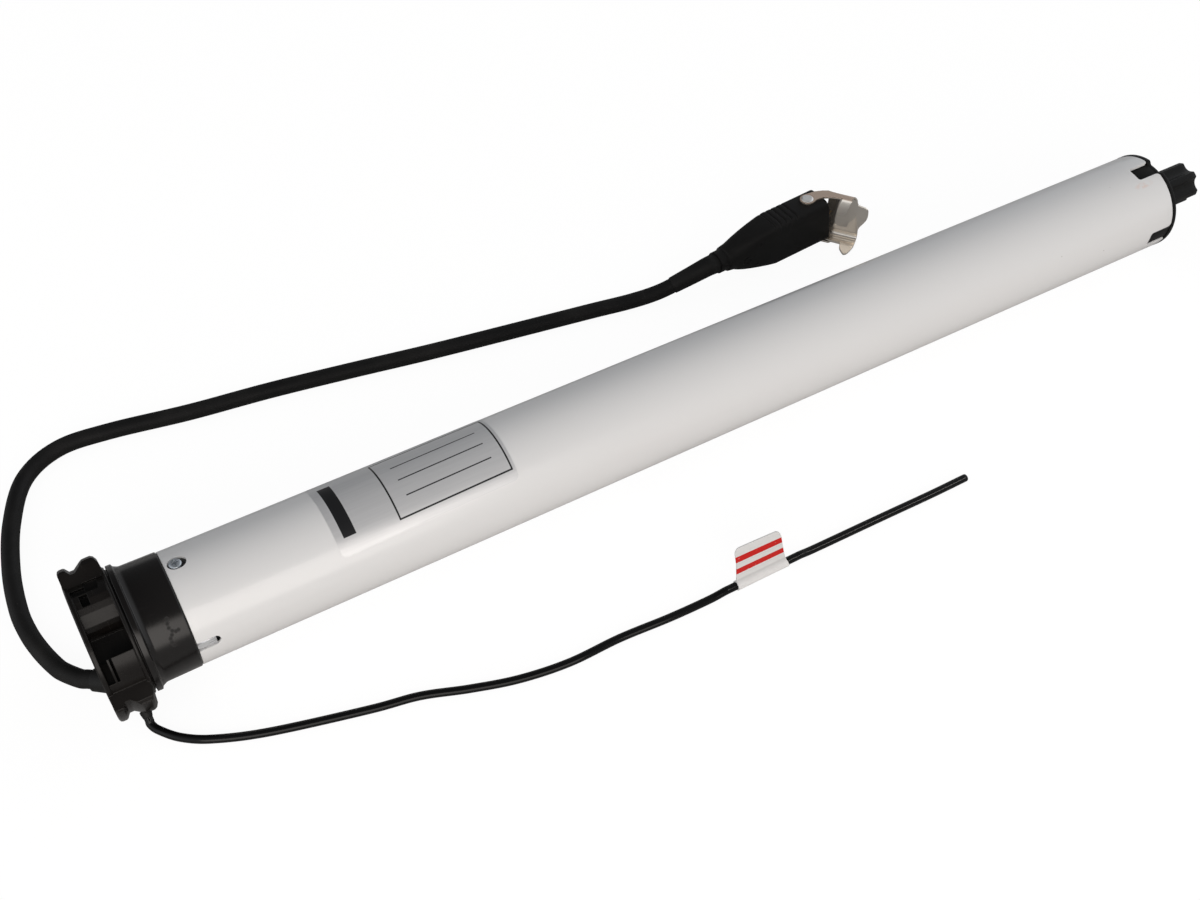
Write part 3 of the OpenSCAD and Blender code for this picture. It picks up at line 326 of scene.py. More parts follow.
def carve(obj, tools, crossing=False):
    """Cuts closed tool meshes, given as points and faces, out of a piece and applies the result.

    Where shells of the piece cross each other, they are joined first.
    """
    cutters = []
    for k, (points, faces) in enumerate(tools):
        cutter = put(f"cutter_{k}", solid(f"cutter_{k}", points, faces))
        cut = obj.modifiers.new(f"cut_{k}", "BOOLEAN")
        cut.object = cutter
        cut.operation = "DIFFERENCE"
        cut.solver = "EXACT"
        cut.use_self = crossing
        cutters.append(cutter)
    graph = bpy.context.evaluated_depsgraph_get()
    made = bpy.data.meshes.new_from_object(obj.evaluated_get(graph))
    obj.modifiers.clear()
    old = obj.data
    obj.data = made
    bpy.data.meshes.remove(old)
    for cutter in cutters:
        bpy.data.objects.remove(cutter)
    smooth(made)


# Finishes

class Nodes:
    """The nodes of a tree, made with their inputs set to values or linked to other nodes."""

    def __init__(self, tree):
        self.tree = tree

    def give(self, socket, value):
        """Links a socket to an output, or sets its value."""
        if isinstance(value, bpy.types.NodeSocket):
            self.tree.links.new(value, socket)
        else:
            socket.default_value = value

    def node(self, kind, inputs=None, **choices):
        made = self.tree.nodes.new(kind)
        for key, value in choices.items():
            setattr(made, key, value)
        for key, value in (inputs or {}).items():
            self.give(made.inputs[key], value)
        return made

    def split(self, vector):
        """The outputs X, Y and Z of a vector."""
        return self.node("ShaderNodeSeparateXYZ", {"Vector": vector}).outputs

    def stretch(self, place, scale, turn=(0.0, 0.0, 0.0)):
        made = self.node("ShaderNodeMapping", {"Vector": place, "Rotation": turn, "Scale": scale})
        return made.outputs["Vector"]

    def noise(self, place, scale, detail=3.0, rough=0.5):
        made = self.node("ShaderNodeTexNoise", {"Vector": place, "Scale": scale, "Detail": detail,
                                                "Roughness": rough})
        return made.outputs["Fac"]

    def ramp(self, value, low, high, out_low=0.0, out_high=1.0):
        made = self.node("ShaderNodeMapRange", {"Value": value, "From Min": low, "From Max": high,
                                                "To Min": out_low, "To Max": out_high})
        return made.outputs["Result"]

    def math(self, operation, a, b=0.0, c=0.0, **choices):
        made = self.node("ShaderNodeMath", {0: a, 1: b, 2: c}, operation=operation, **choices)
        return made.outputs["Value"]

    def band(self, value, low, high, soft):
        """1 between two values and 0 outside, with soft edges."""
        off = self.math("ABSOLUTE", self.math("SUBTRACT", value, (low + high) / 2))
        return self.ramp(off, (high - low) / 2 + soft, (high - low) / 2 - soft)

    def mix(self, share, a, b):
        """A colour between a and b."""
        made = self.node("ShaderNodeMix", {"Factor": share}, data_type="RGBA")
        for key, value in ((6, a), (7, b)):
            linked = isinstance(value, bpy.types.NodeSocket)
            self.give(made.inputs[key], value if linked else (*value[:3], 1))
        return made.outputs[2]


class Finish(Nodes):
    """A material under construction: a Principled shader and the nodes that feed it."""

    def __init__(self, name, colour, rough, sockets=None):
        self.material = bpy.data.materials.new(name)
        self.material.use_nodes = True
        super().__init__(self.material.node_tree)
        self.shader = self.tree.nodes["Principled BSDF"]
        for key, value in {"Base Color": (*colour, 1), "Roughness": rough, **(sockets or {})}.items():
            self.feed(key, value)
        self.place = self.node("ShaderNodeTexCoord").outputs["Object"]

    def feed(self, socket, value):
        self.give(self.shader.inputs[socket], value)

    def lay(self):
        """The piece's own straightened coordinates."""
        return self.node("ShaderNodeAttribute", attribute_name="straight").outputs["Vector"]

    def effect(self, tree, inputs):
        return self.node("ShaderNodeGroup", inputs, node_tree=tree).outputs

    def bump(self, height, depth, edge=None):
        """Raises the surface by height times depth, in metres, over edges rounded by a radius."""
        inputs = {"Height": height, "Strength": 1.0, "Distance": depth}
        if edge:
            inputs["Normal"] = self.node("ShaderNodeBevel", {"Radius": edge}, samples=6).outputs["Normal"]
        self.feed("Normal", self.node("ShaderNodeBump", inputs).outputs["Normal"])


def effect_group(name, inputs, outputs):
    """An empty node group that works on a place: its nodes, its inputs and its outputs."""
    tree = bpy.data.node_groups.new(name, "ShaderNodeTree")
    tree.interface.new_socket("Place", in_out="INPUT", socket_type="NodeSocketVector")
    for label in inputs:
        tree.interface.new_socket(label, in_out="INPUT", socket_type="NodeSocketFloat")
    for label in outputs:
        tree.interface.new_socket(label, in_out="OUTPUT", socket_type="NodeSocketFloat")
    nodes = Nodes(tree)
    return nodes, nodes.node("NodeGroupInput").outputs, nodes.node("NodeGroupOutput").inputs


def make_dust():
    """Dust: fine specks and a thin film, more of it on surfaces that face up."""
    g, given, asked = effect_group("Dust", ["Amount"], ["Mask"])
    place = given["Place"]
    cells = g.node("ShaderNodeTexVoronoi", {"Vector": place, "Scale": 520.0})
    dots = g.ramp(cells.outputs["Distance"], 0.16, 0.06)
    patch = g.ramp(g.noise(place, 160.0, 2.0), 0.55, 0.72)
    film = g.ramp(g.noise(place, 60.0, 6.0), 0.42, 0.8, 0.0, 0.35)
    total = g.math("ADD", g.math("MULTIPLY", dots, patch), film)
    facing = g.split(g.node("ShaderNodeNewGeometry").outputs["Normal"])["Z"]
    laid = g.math("MULTIPLY", total, g.ramp(facing, -0.2, 0.9, 0.1, 1.0))
    g.give(asked["Mask"], g.math("MULTIPLY", laid, given["Amount"], use_clamp=True))
    return g.tree


def make_grain():
    """Moulded grain: fine noise that gives a height, and wide noise that makes the roughness uneven."""
    g, given, asked = effect_group("Moulded grain", ["Scale", "Rough", "Spread"], ["Height", "Roughness"])
    place = given["Place"]
    g.give(asked["Height"], g.noise(place, given["Scale"], 4.0, 0.6))
    wide = g.math("SUBTRACT", g.noise(place, 90.0, 4.0), 0.5)
    g.give(asked["Roughness"], g.math("MULTIPLY_ADD", wide, given["Spread"], given["Rough"]))
    return g.tree


def make_scuffs():
    """Scuffs: thin stretched scratches in two directions, gathered in patches."""
    g, given, asked = effect_group("Scuffs", ["Amount"], ["Mask"])
    place = given["Place"]
    lines = []
    for turn, scale in (((0.3, 0.2, 0.9), (900, 60, 60)), ((1.1, 0.6, 0.1), (70, 800, 90))):
        lines.append(g.ramp(g.noise(g.stretch(place, scale, turn), 1.0, 1.0), 0.68, 0.74))
    patch = g.ramp(g.noise(place, 55.0, 2.0), 0.52, 0.68)
    kept = g.math("MULTIPLY", g.math("MAXIMUM", *lines), patch)
    g.give(asked["Mask"], g.math("MULTIPLY", kept, given["Amount"], use_clamp=True))
    return g.tree


EFFECTS = {}
FINISHES = {}
DUST_COLOUR, DUST_ROUGH = (0.23, 0.215, 0.20), 0.25
SHADE_LOW, SHADE_HIGH = 0.82, 1.22
SCUFF_SHARE, SCUFF_LIFT, SCUFF_ROUGH = 2.6, 0.012, 0.12
MARK_R, MARK_SIZE, MARK_ROUGH = 22.9, (1.15, 1.25), 0.62
BRUSH, BRUSH_SPREAD = (1400.0, 60.0, 60.0), 0.16
TARNISH_SHADE, TARNISH_ROUGH = 0.72, 0.1
METAL_SCUFFS, METAL_SCUFF_ROUGH = 0.6, 0.2


def effects():
    """The shared effects, built once."""
    if not EFFECTS:
        EFFECTS.update(dust=make_dust(), grain=make_grain(), scuffs=make_scuffs())
    return EFFECTS


def tint(colour, share, lift=0.0):
    """A colour made lighter or darker."""
    return [min(1, c * share + lift) for c in colour]


def spot(f, at, r, size):
    """A soft spot on the tube's girth at a station and direction, stretched along the tube by its size."""
    middle = tuple(hand(around(at[0], r, at[1])))
    away = f.node("ShaderNodeVectorMath", {0: f.place, 1: middle}, operation="SUBTRACT").outputs["Vector"]
    spread = f.stretch(away, (1 / (size[0] * MM), 1 / (size[1] * MM), 1 / (size[1] * MM)))
    reach = f.node("ShaderNodeVectorMath", {0: spread}, operation="LENGTH").outputs["Value"]
    return f.ramp(reach, 1.0, 0.35)


def moulded(name, colour, rough, specular=0.5, grain_scale=2600.0, depth=0.000012, dust=0.5, scuffs=0.5,
            spread=0.22, edge=None, straight=False, marks=()):
    """Moulded plastic or rubber: grain, uneven gloss, a little dust, a few scuffs and rough, matt marks."""
    if name in FINISHES:
        return FINISHES[name]
    f = Finish(name, colour, rough, {"Specular IOR Level": specular})
    fx = effects()
    where = f.lay() if straight else f.place
    grain = f.effect(fx["grain"], {"Place": where, "Scale": grain_scale, "Rough": rough, "Spread": spread})
    dusty = f.effect(fx["dust"], {"Place": where, "Amount": dust})["Mask"]
    worn = f.effect(fx["scuffs"], {"Place": where, "Amount": scuffs})["Mask"]
    shade = f.ramp(f.noise(where, 45.0, 4.0), 0.3, 0.7)
    base = f.mix(shade, tint(colour, SHADE_LOW), tint(colour, SHADE_HIGH))
    scuffed = f.mix(worn, base, tint(colour, SCUFF_SHARE, SCUFF_LIFT))
    f.feed("Base Color", f.mix(dusty, scuffed, DUST_COLOUR))
    rougher = f.math("MULTIPLY_ADD", dusty, DUST_ROUGH, grain["Roughness"])
    for at in marks:
        rougher = f.math("MAXIMUM", rougher, f.math("MULTIPLY", spot(f, at, MARK_R, MARK_SIZE), MARK_ROUGH))
    f.feed("Roughness", f.math("MULTIPLY_ADD", worn, SCUFF_ROUGH, rougher))
    f.bump(grain["Height"], depth, edge)
    FINISHES[name] = f.material
    return f.material


def metal(name, colour, rough, metallic=1.0, depth=0.000006, edge=None, tarnish=None, painted_shade_above=None):
    """Bare or plated metal: brushed unevenness, tarnish in patches, and a darker colour above a height, which
    is painted shade.
    """
    if name in FINISHES:
        return FINISHES[name]
    f = Finish(name, colour, rough, {"Metallic": metallic})
    lines = f.noise(f.stretch(f.place, BRUSH), 1.0)
    patch = f.ramp(f.noise(f.place, 70.0, 5.0), 0.42, 0.68)
    base = f.mix(patch, colour, tarnish or tint(colour, TARNISH_SHADE))
    # Painted shade: above a height the colour is painted darker and warmer.
    if painted_shade_above:
        low, high, shade = painted_shade_above
        base = f.mix(f.ramp(f.split(f.place)["Z"], low, high), base, shade)
    f.feed("Base Color", base)
    uneven = f.math("MULTIPLY_ADD", lines, BRUSH_SPREAD, rough - BRUSH_SPREAD / 2)
    tarnished = f.math("MULTIPLY_ADD", patch, TARNISH_ROUGH, uneven)
    worn = f.effect(effects()["scuffs"], {"Place": f.place, "Amount": METAL_SCUFFS})["Mask"]
    f.feed("Roughness", f.math("MULTIPLY_ADD", worn, METAL_SCUFF_ROUGH, tarnished))
    f.bump(lines, depth, edge)
    FINISHES[name] = f.material
    return f.material


def wear(node, finish):
    """Gives a CAD node a finish of its own."""
    coat(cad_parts[node].data, finish)


# Leads

CORD_GAP, TABLE_GAP = 0.02, 0.05
CORD_SIDES, WIRE_SIDES, LIP_SIDES, LEAD_SHARP = 28, 20, 24, 60
TIP_ROUND = 0.45


def straight_lead(start, way, step, count=3):
    """Points that run straight on from a start."""
    return np.asarray(start) + (CORD_GAP + step * np.arange(count))[:, None] * np.asarray(way)


def flat_run(points, z):
    """Points of a route on the table, given as x and y, at one height."""
    p = np.asarray(points, float)
    return np.column_stack([p, np.full(len(p), z)])


HEAD_X = -272.25
GLAND_YAW, GLAND_DIP = math.radians(40), math.radians(8)
GLAND_EXIT = (HEAD_X - 2.4, 0.0, AXIS_Z - 19.4)
GLAND_WAY = (-math.cos(GLAND_YAW) * math.cos(GLAND_DIP), math.sin(GLAND_YAW) * math.cos(GLAND_DIP),
             -math.sin(GLAND_DIP))
PLUG_TURN = math.radians(5)
PLUG_WAY = np.array([math.cos(PLUG_TURN), math.sin(PLUG_TURN), 0.0])
PLUG_SIDE = np.array([-math.sin(PLUG_TURN), math.cos(PLUG_TURN), 0.0])
PLUG_FRONT = np.array([111.5, 80.0, 13.75])
PLUG_LEN = 63.0
CORD_DROP = [(-283.3, 9.6, 4.1)]
CORD_TABLE = [(-285.6, 14.3), (-288.6, 24), (-290.6, 35), (-291, 48), (-288.5, 68), (-282, 92), (-271, 113.5),
              (-254, 123.5), (-232, 122.5), (-198, 116), (-163, 111), (-127, 104.5), (-91, 97.5), (-53, 91),
              (-14, 84.5), (6, 81)]
CORD_RISE = [(20, 78.5, 5.2), (32, 76, 9.6)]
BOOT_LEN, BOOT_LIP, BOOT_TIP_R = 24.0, 2.0, 3.62
PLUG_PIECES = ("plug_shell", "plug_ring", "plug_dot_a", "plug_dot_b", "bail_sheet")
PLUG_NODES = ("plug_insert", "plug_contacts", "bail_rivets")
AERIAL_PHI = math.radians(-40)
AERIAL_WAY = (0.0, -math.cos(AERIAL_PHI), math.sin(AERIAL_PHI))
AERIAL_EXIT = np.array([HEAD_X + 9.5, 0, AXIS_Z]) + 32.0 * np.array(AERIAL_WAY)
WIRE_LIP_SET = 2.6
WIRE_TABLE = [(-261, -30), (-255, -37), (-245, -43.5), (-226, -51), (-191, -60.5), (-172.5, -64.5),
              (-155, -71), (-137, -76.5), (-117, -79.5), (-95, -79.5), (-73.5, -81), (-56, -81.5)]
TAG_X, TAG_Y, TAG_LIFT = -30.8, -81.5, 2.3
TAG_W, TAG_H, TAG_LEAN, TAG_TWIST = 24.0, 18.6, 7.5, -4.4
TAG_DRAW, TAG_DRIFT = 0.14, -1.44
TAG_PLY, TAG_WRAP, TAG_CORNER, TAG_FOOT = 0.2, 2.07, 2.6, 3.4
TAG_BANDS, TAG_CREASE, TAG_FOLD = [(12.2, 15.0), (6.2, 9.0)], (11.2, 11.5), (2.3, 3.3)
TAG_BOW, TAG_BOW_SIDE, TAG_WAVE, TAG_WAIST = 1.25, 0.75, 0.3, 0.02
FOLD_FROM, FOLD_BEND = math.radians(38), (TAG_PLY + 0.1, 2.35)
PRINT_SOFT, FOLD_SOFT = 0.00005, 0.0007
WIRE_TAG = [(-48, TAG_Y), (-44, TAG_Y), (-16, TAG_Y), (-12, TAG_Y)]
WIRE_END = [(-4, TAG_Y), (28, -82), (54, -82.5), (73, -82.5)]


def round_end(path, radius, steps=5):
    """Path points and radii with the far edge rounded by e: r = R - e + sqrt(e^2 - (e - d)^2)."""
    back = path[-2] - path[-1]
    back /= np.linalg.norm(back)
    edge = radius * TIP_ROUND
    d = edge * (1 - np.sin(np.linspace(0, math.pi / 2, steps)))
    tip = path[-1] + d[:, None] * back
    tip_r = radius - edge + edge * np.sqrt(1 - (1 - d / edge) ** 2)
    return np.vstack([path[:-1], tip]), np.concatenate([np.full(len(path) - 1, radius), tip_r])


class BLIND_OT_power_cord(Operator):
    """The rubber power cord from the head's gland to the plug"""
    bl_idname = "blind.power_cord"
    bl_label = "Power cord"

    def execute(self, context):
        leads = settings("leads")
        radius = leads.cord_d / MM / 2
        route = np.vstack([
            straight_lead(GLAND_EXIT, GLAND_WAY, 3),
            CORD_DROP,
            flat_run(CORD_TABLE, radius + TABLE_GAP),
            CORD_RISE,
            straight_lead(PLUG_FRONT - PLUG_LEN * PLUG_WAY, -PLUG_WAY, 3)[::-1],
        ])
        path = smooth_route(route, 8)
        rings, flat = swept(path, radius, CORD_SIDES)
        cord = piece("power_cord_rubber", rings, loft(rings), cord_finish(), slot="cord_rubber",
                     replaces=["power_cord"], straight=flat, sharp=LEAD_SHARP)
        boot = self.boot(path)
        moved = [bpy.data.objects[name] for name in PLUG_PIECES]
        moved += [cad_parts[name] for name in PLUG_NODES]
        return {"FINISHED"}

    def boot(self, path):
        """Strain relief behind the plug: a sleeve that tapers along the cord, with a lip at its end."""
        s = run_length(path)
        back = s[-1] - s
        lip = BOOT_LEN - BOOT_LIP
        t = np.concatenate([np.linspace(0, lip, 20), lip + np.array([0.4, 0.9, 1.4, 1.8, BOOT_LIP])])
        line = np.stack([np.interp(t, back[::-1], path[::-1, k]) for k in range(3)], -1)
        thick = np.interp(t, [0, 3, lip, BOOT_LEN], [4.75, 4.7, 4.05, 3.95])
        thick[-1] = BOOT_TIP_R
        rings, flat = swept(line, thick, CORD_SIDES)
        return piece("cord_boot", rings, loft(rings), cord_finish(), slot="cord_rubber", straight=flat)


class BLIND_OT_aerial(Operator):
    """The aerial wire, which ends bare, and its tag"""
    bl_idname = "blind.aerial"
    bl_label = "Aerial wire"

    def execute(self, context):
        leads = settings("leads")
        radius = leads.wire_d / MM / 2
        lay = radius + TABLE_GAP
        route = np.vstack([straight_lead(AERIAL_EXIT, AERIAL_WAY, 1.5), flat_run(WIRE_TABLE, lay),
                           flat_run(WIRE_TAG, TAG_LIFT), flat_run(WIRE_END, lay)])
        path, radii = round_end(smooth_route(route, 10), radius)
        rings, flat = swept(path, radii, WIRE_SIDES)
        lead = piece("aerial_lead", rings, loft(rings), wire_finish(), slot="wire_skin",
                     replaces=["aerial_wire"], straight=flat, sharp=LEAD_SHARP)
        self.tag()
        self.grommet()
        strip = bpy.data.collections.new("wire_strip_lights")
        strip.objects.link(lead)
        bpy.data.objects["wire_strip"].light_linking.receiver_collection = strip
        return {"FINISHED"}

    def tag(self):
        """Flag tag: a profile of wire wrap, fillet and two-ply flag, carried across the tag's width.

        The flag's height drops by a quarter circle at its two top corners, its width draws in and drifts back
        along the wire with the height, and it bows back as the square of the height, with a slight wave.
        """
        half, corner, foot = TAG_W / 2, TAG_CORNER, TAG_FOOT
        turn = np.linspace(0, math.pi / 2, 7)
        edge = half - corner * (1 - np.sin(turn))
        u = np.concatenate([-edge[::-1], np.linspace(-half + corner, half - corner, 22)[1:-1], edge])
        drop = np.clip(np.abs(u) - half + corner, 0, corner)
        tall = TAG_H - corner + np.sqrt(corner ** 2 - drop ** 2)
        share = np.linspace(1, 0, 22)[:, None]
        flag_a = foot + share * (tall - foot)
        flag_b = np.full_like(flag_a, TAG_PLY)
        t = np.linspace(0, 1, 7)[1:, None]
        land_b, land_a = TAG_WRAP * math.sin(FOLD_FROM), TAG_WRAP * math.cos(FOLD_FROM)
        fillet_b = (1 - t) ** 2 * TAG_PLY + 2 * t * (1 - t) * FOLD_BEND[0] + t ** 2 * land_b
        fillet_a = (1 - t) ** 2 * foot + 2 * t * (1 - t) * FOLD_BEND[1] + t ** 2 * land_a
        wrap = np.linspace(FOLD_FROM, math.pi, 14)[1:, None]
        ones = np.ones((1, len(u)))
        b = np.vstack([flag_b, fillet_b * ones, TAG_WRAP * np.sin(wrap) * ones])
        a = np.vstack([flag_a, fillet_a * ones, TAG_WRAP * np.cos(wrap) * ones])
        b, a = np.vstack([b, -b[-2::-1]]), np.vstack([a, a[-2::-1]])
        high = np.clip(a / TAG_H, 0, 1)
        lean = np.radians(TAG_LEAN + TAG_TWIST * u / half * high)
        bow = TAG_BOW * high ** 2 * (1 + TAG_BOW_SIDE * u / half)
        bow = bow + TAG_WAVE * np.sin(2.2 * high * math.pi) * high
        waist = 1 - TAG_WAIST * np.sin(np.clip(high * 1.25 - 0.08, 0, 1) * math.pi)
        x = TAG_X + u * waist * (1 - TAG_DRAW * high) + TAG_DRIFT * high
        y = TAG_Y + a * np.sin(lean) - b * np.cos(lean) + bow
        z = TAG_LIFT + a * np.cos(lean) + b * np.sin(lean)
        grid = np.stack([x, y, z], -1).transpose(1, 0, 2)
        flat = np.stack([np.broadcast_to(u, a.shape), a, b], -1).transpose(1, 0, 2)
        rows, cols = grid.shape[:2]
        faces = lattice(rows, cols, wrap_cols=True).tolist()
        k = np.arange(cols // 2)
        for base in (0, (rows - 1) * cols):
            strip = np.stack([base + k, base + k + 1, base + cols - 2 - k, base + cols - 1 - k], -1)
            faces += [list(dict.fromkeys(f)) for f in strip.tolist() if len(set(f)) > 2]
        return piece("tag_flag", grid, faces, tag_finish(), slot="tag_paper", replaces=["aerial_tag"],
                     straight=flat)

    def grommet(self):
        """Rubber lip round the wire where it leaves the head: a sleeve along the wire that tapers to it."""
        s = np.array([0.0, 0.8, 1.5, 2.2, 2.7, 2.9])
        r = np.array([2.2, 2.2, 2.05, 1.9, 1.78, 1.62])
        line = AERIAL_EXIT + (s - WIRE_LIP_SET)[:, None] * np.array(AERIAL_WAY)
        rings, flat = swept(line, r, LIP_SIDES)
        return piece("wire_lip", rings, loft(rings), gland_finish(), slot="cord_rubber", straight=flat,
                     replaces=["aerial_grommet"])


def cord_finish():
    """Matt rubber of the power cord and its boot."""
    return moulded("cord_rubber", tuple(settings("leads").cord), 0.62, specular=0.2, grain_scale=1900.0,
                   depth=0.00002, dust=0.12, scuffs=0.3, straight=True)


def wire_finish():
    """Glossy skin of the aerial wire."""
    return moulded("wire_skin", tuple(settings("leads").wire), 0.13, specular=0.22, grain_scale=1500.0,
                   depth=0.000004, dust=0.0, scuffs=0.06, spread=0.1, straight=True)


def gland_finish():
    """Rubber of the cord gland and of the lip round the aerial wire."""
    return moulded("gland_rubber", tuple(settings("moulding").plug), 0.55, specular=0.25, grain_scale=3000.0,
                   dust=0.1)


def tag_finish():
    """White tag stock with two plain red bands, fibres and a crease between the bands; the fold, the flag and
    the crease are painted darker, as painted shade.
    """
    leads = settings("leads")
    paper, band = tuple(leads.paper), tuple(leads.band)
    f = Finish("tag_paper", paper, 0.5, {"Specular IOR Level": 0.25})
    high = f.split(f.lay())["Y"]

    def stripe(low, top, soft=PRINT_SOFT):
        return f.band(high, low * MM, top * MM, soft)

    red = f.math("MAXIMUM", *(stripe(*ends) for ends in TAG_BANDS))
    worn = f.ramp(f.noise(f.place, 900.0), 0.66, 0.74)
    printed = f.math("SUBTRACT", red, f.math("MULTIPLY", worn, 0.35))
    crease = stripe(*TAG_CREASE)
    fibre = f.ramp(f.noise(f.stretch(f.lay(), (300.0, 900.0, 900.0)), 1.0, 4.0), 0.3, 0.7)
    stock = f.mix(fibre, tint(paper, 0.96), tint(paper, 1.03))
    # Painted shade: the flag above the fold and a band at the fold are painted darker.
    flag = f.ramp(high, 2.4 * MM, 3.4 * MM, 0.0, 0.29)
    fold = stripe(*TAG_FOLD, FOLD_SOFT)
    painted_shade = f.mix(f.math("MAXIMUM", flag, fold), stock, tint(paper, 0.69))
    # Painted shade: the crease line is painted a little darker.
    creased = f.mix(f.math("MULTIPLY", crease, 0.25), painted_shade, tint(paper, 0.7))
    f.feed("Base Color", f.mix(f.math("MAXIMUM", printed, 0.0), creased, band))
    f.feed("Roughness", f.ramp(fibre, 0.0, 1.0, 0.38, 0.52))
    f.bump(f.math("ADD", f.math("MULTIPLY", fibre, 0.3), crease), 0.00003)
    return f.material


# Tube and label

SLOT_PHI, SLOT_W, SLOT_LEN = 6.5, 4.4, 8.6
NOTCH_PHI, NOTCH_W, NOTCH_LEN = 83.0, 7.7, 12.0
NOTCH_IN, NOTCH_OUT = 1.5, 1.8
SLOTS = [SLOT_PHI + turn for turn in (0, 180)]
NOTCHES = [NOTCH_PHI + turn for turn in (0, 90, 180, 270)]
SCREW_PHI, SCREW_SET, SCREW_HOLE_R, SCREW_RUN = 95.5, 4.1, 3.0, 1.2
SCREWS = [SCREW_PHI + turn for turn in (0, 180)]
SCREW_HEAD_R, SCREW_RIM, SCREW_DOME = 2.36, 0.95, 0.6
SCREW_SHANK_R, SCREW_IN, SCREW_SEAT, SCREW_EDGE = 1.5, 3.0, 0.03, 0.06
SCREW_TURN, SCREW_SIDES = 8.0, 48
HOLE_FROM, HOLE_TO, BAR_TOP = -3.3, 4.7, 2.2
CROSS_BAR, SLIT_BAR = (1.35, 0.36, 0.8), (2.8, 0.30, 1.2)


def slot_depth(y):
    """Depth of the round-ended locating slot at a distance y from its middle."""
    half = SLOT_W / 2
    inside = np.clip(half ** 2 - y ** 2, 0, None)
    return np.where(np.abs(y) < half, SLOT_LEN - half + np.sqrt(inside), 0.0)


def notch_depth(y):
    """Depth of a tab notch: square with a fillet inside and rounded corners at its mouth."""
    far = np.abs(y) - NOTCH_W / 2
    bend = np.clip(far + NOTCH_IN, 0, NOTCH_IN)
    inner = NOTCH_LEN - NOTCH_IN + np.sqrt(NOTCH_IN ** 2 - bend ** 2)
    gone = np.clip(NOTCH_OUT - far, 0, NOTCH_OUT)
    mouth = NOTCH_OUT - np.sqrt(NOTCH_OUT ** 2 - gone ** 2)
    return np.where(far < 0, inner, np.where(far < NOTCH_OUT, mouth, 0.0))


def columns(close_by, step, clear):
    """Directions in even steps, clear of closer ones that are given as middles and offsets on the girth."""
    close = []
    for middles, offsets in close_by:
        both = np.degrees(np.concatenate([-offsets, offsets]) / TUBE_R)
        close += [mid + both for mid in middles]
    close = np.concatenate(close) % 360
    even = np.arange(0, 360, step)
    far = np.abs((even[:, None] - close[None] + 180) % 360 - 180).min(1) > clear
    return np.unique(np.round(np.concatenate([close, even[far]]), 5))


def tube_columns():
    """Directions round the tube, closer together at the slots and notches."""
    half_s, half_n = SLOT_W / 2, NOTCH_W / 2
    turn = np.linspace(0, math.pi / 2, 9)
    slot = np.concatenate([half_s * np.sin(turn[:-1]), [half_s - 0.004, half_s + 0.03]])
    notch = np.concatenate([[0, half_n * 0.4], half_n - NOTCH_IN + NOTCH_IN * np.sin(turn[:-1]),
                            [half_n - 0.004, half_n + 0.02], half_n + NOTCH_OUT * (1 - np.cos(turn[1:]))])
    return columns([(SLOTS, slot), (NOTCHES, notch)], 1.5, 0.5)


def across(phi, mid):
    """Distance along the girth from the direction mid."""
    return np.radians((phi - mid + 180) % 360 - 180) * TUBE_R


class BLIND_OT_tube(Operator):
    """The lacquered tube with its locating slots, screw holes and tab notches"""
    bl_idname = "blind.tube"
    bl_label = "Motor tube"

    def execute(self, context):
        edge = settings("tube").edge / MM
        phi = tube_columns()
        near = (TUBE_X + sum(slot_depth(across(phi, mid)) for mid in SLOTS))[:, None]
        far = (TUBE_END - sum(notch_depth(across(phi, mid)) for mid in NOTCHES))[:, None]
        run = np.concatenate([TUBE_X + 9.2 + np.arange(6) * 1.2, np.linspace(TUBE_X + 30, TUBE_END - 30, 12),
                              TUBE_END - 13 - np.arange(4)[::-1] * 4])
        even = np.tile(run, (len(phi), 1))
        a = np.linspace(0, math.pi / 2, 5)
        back, drop = edge * (1 - np.cos(a)), edge * (1 - np.sin(a))
        stations = np.hstack([near + back, even, far - back[::-1],
                              far - back, even[:, ::-1], near + back[::-1]])
        outer, inner = np.full(len(run), TUBE_R), np.full(len(run), BORE_R)
        radii = np.concatenate([TUBE_R - drop, outer, TUBE_R - drop[::-1],
                                BORE_R + drop, inner, BORE_R + drop[::-1]])
        grid = around(stations, radii[None], phi[:, None])
        tube = piece("tube_shell", grid, hoop(grid), lacquer_finish(), slot="white_lacquer",
                     replaces=["motor_tube"])
        carve(tube, [screw_hole(phi) for phi in SCREWS])
        return {"FINISHED"}


def screw_point(phi, x, y, high):
    """Points beside a screw's axis: x along the tube, y round it and a height above the tube's bore."""
    return beside(phi, TUBE_X + SCREW_SET + x, y, BORE_R + high)


def screw_hole(phi):
    """A long round-ended bar that stands out along the direction phi."""
    turn = full_turn(SCREW_SIDES)
    x = SCREW_HOLE_R * np.cos(turn) + np.where(np.cos(turn) > 0, SCREW_RUN, 0)
    y = SCREW_HOLE_R * np.sin(turn)
    rings = np.stack([screw_point(phi, x, y, high) for high in (HOLE_FROM, HOLE_TO)])
    return rings, loft(rings)


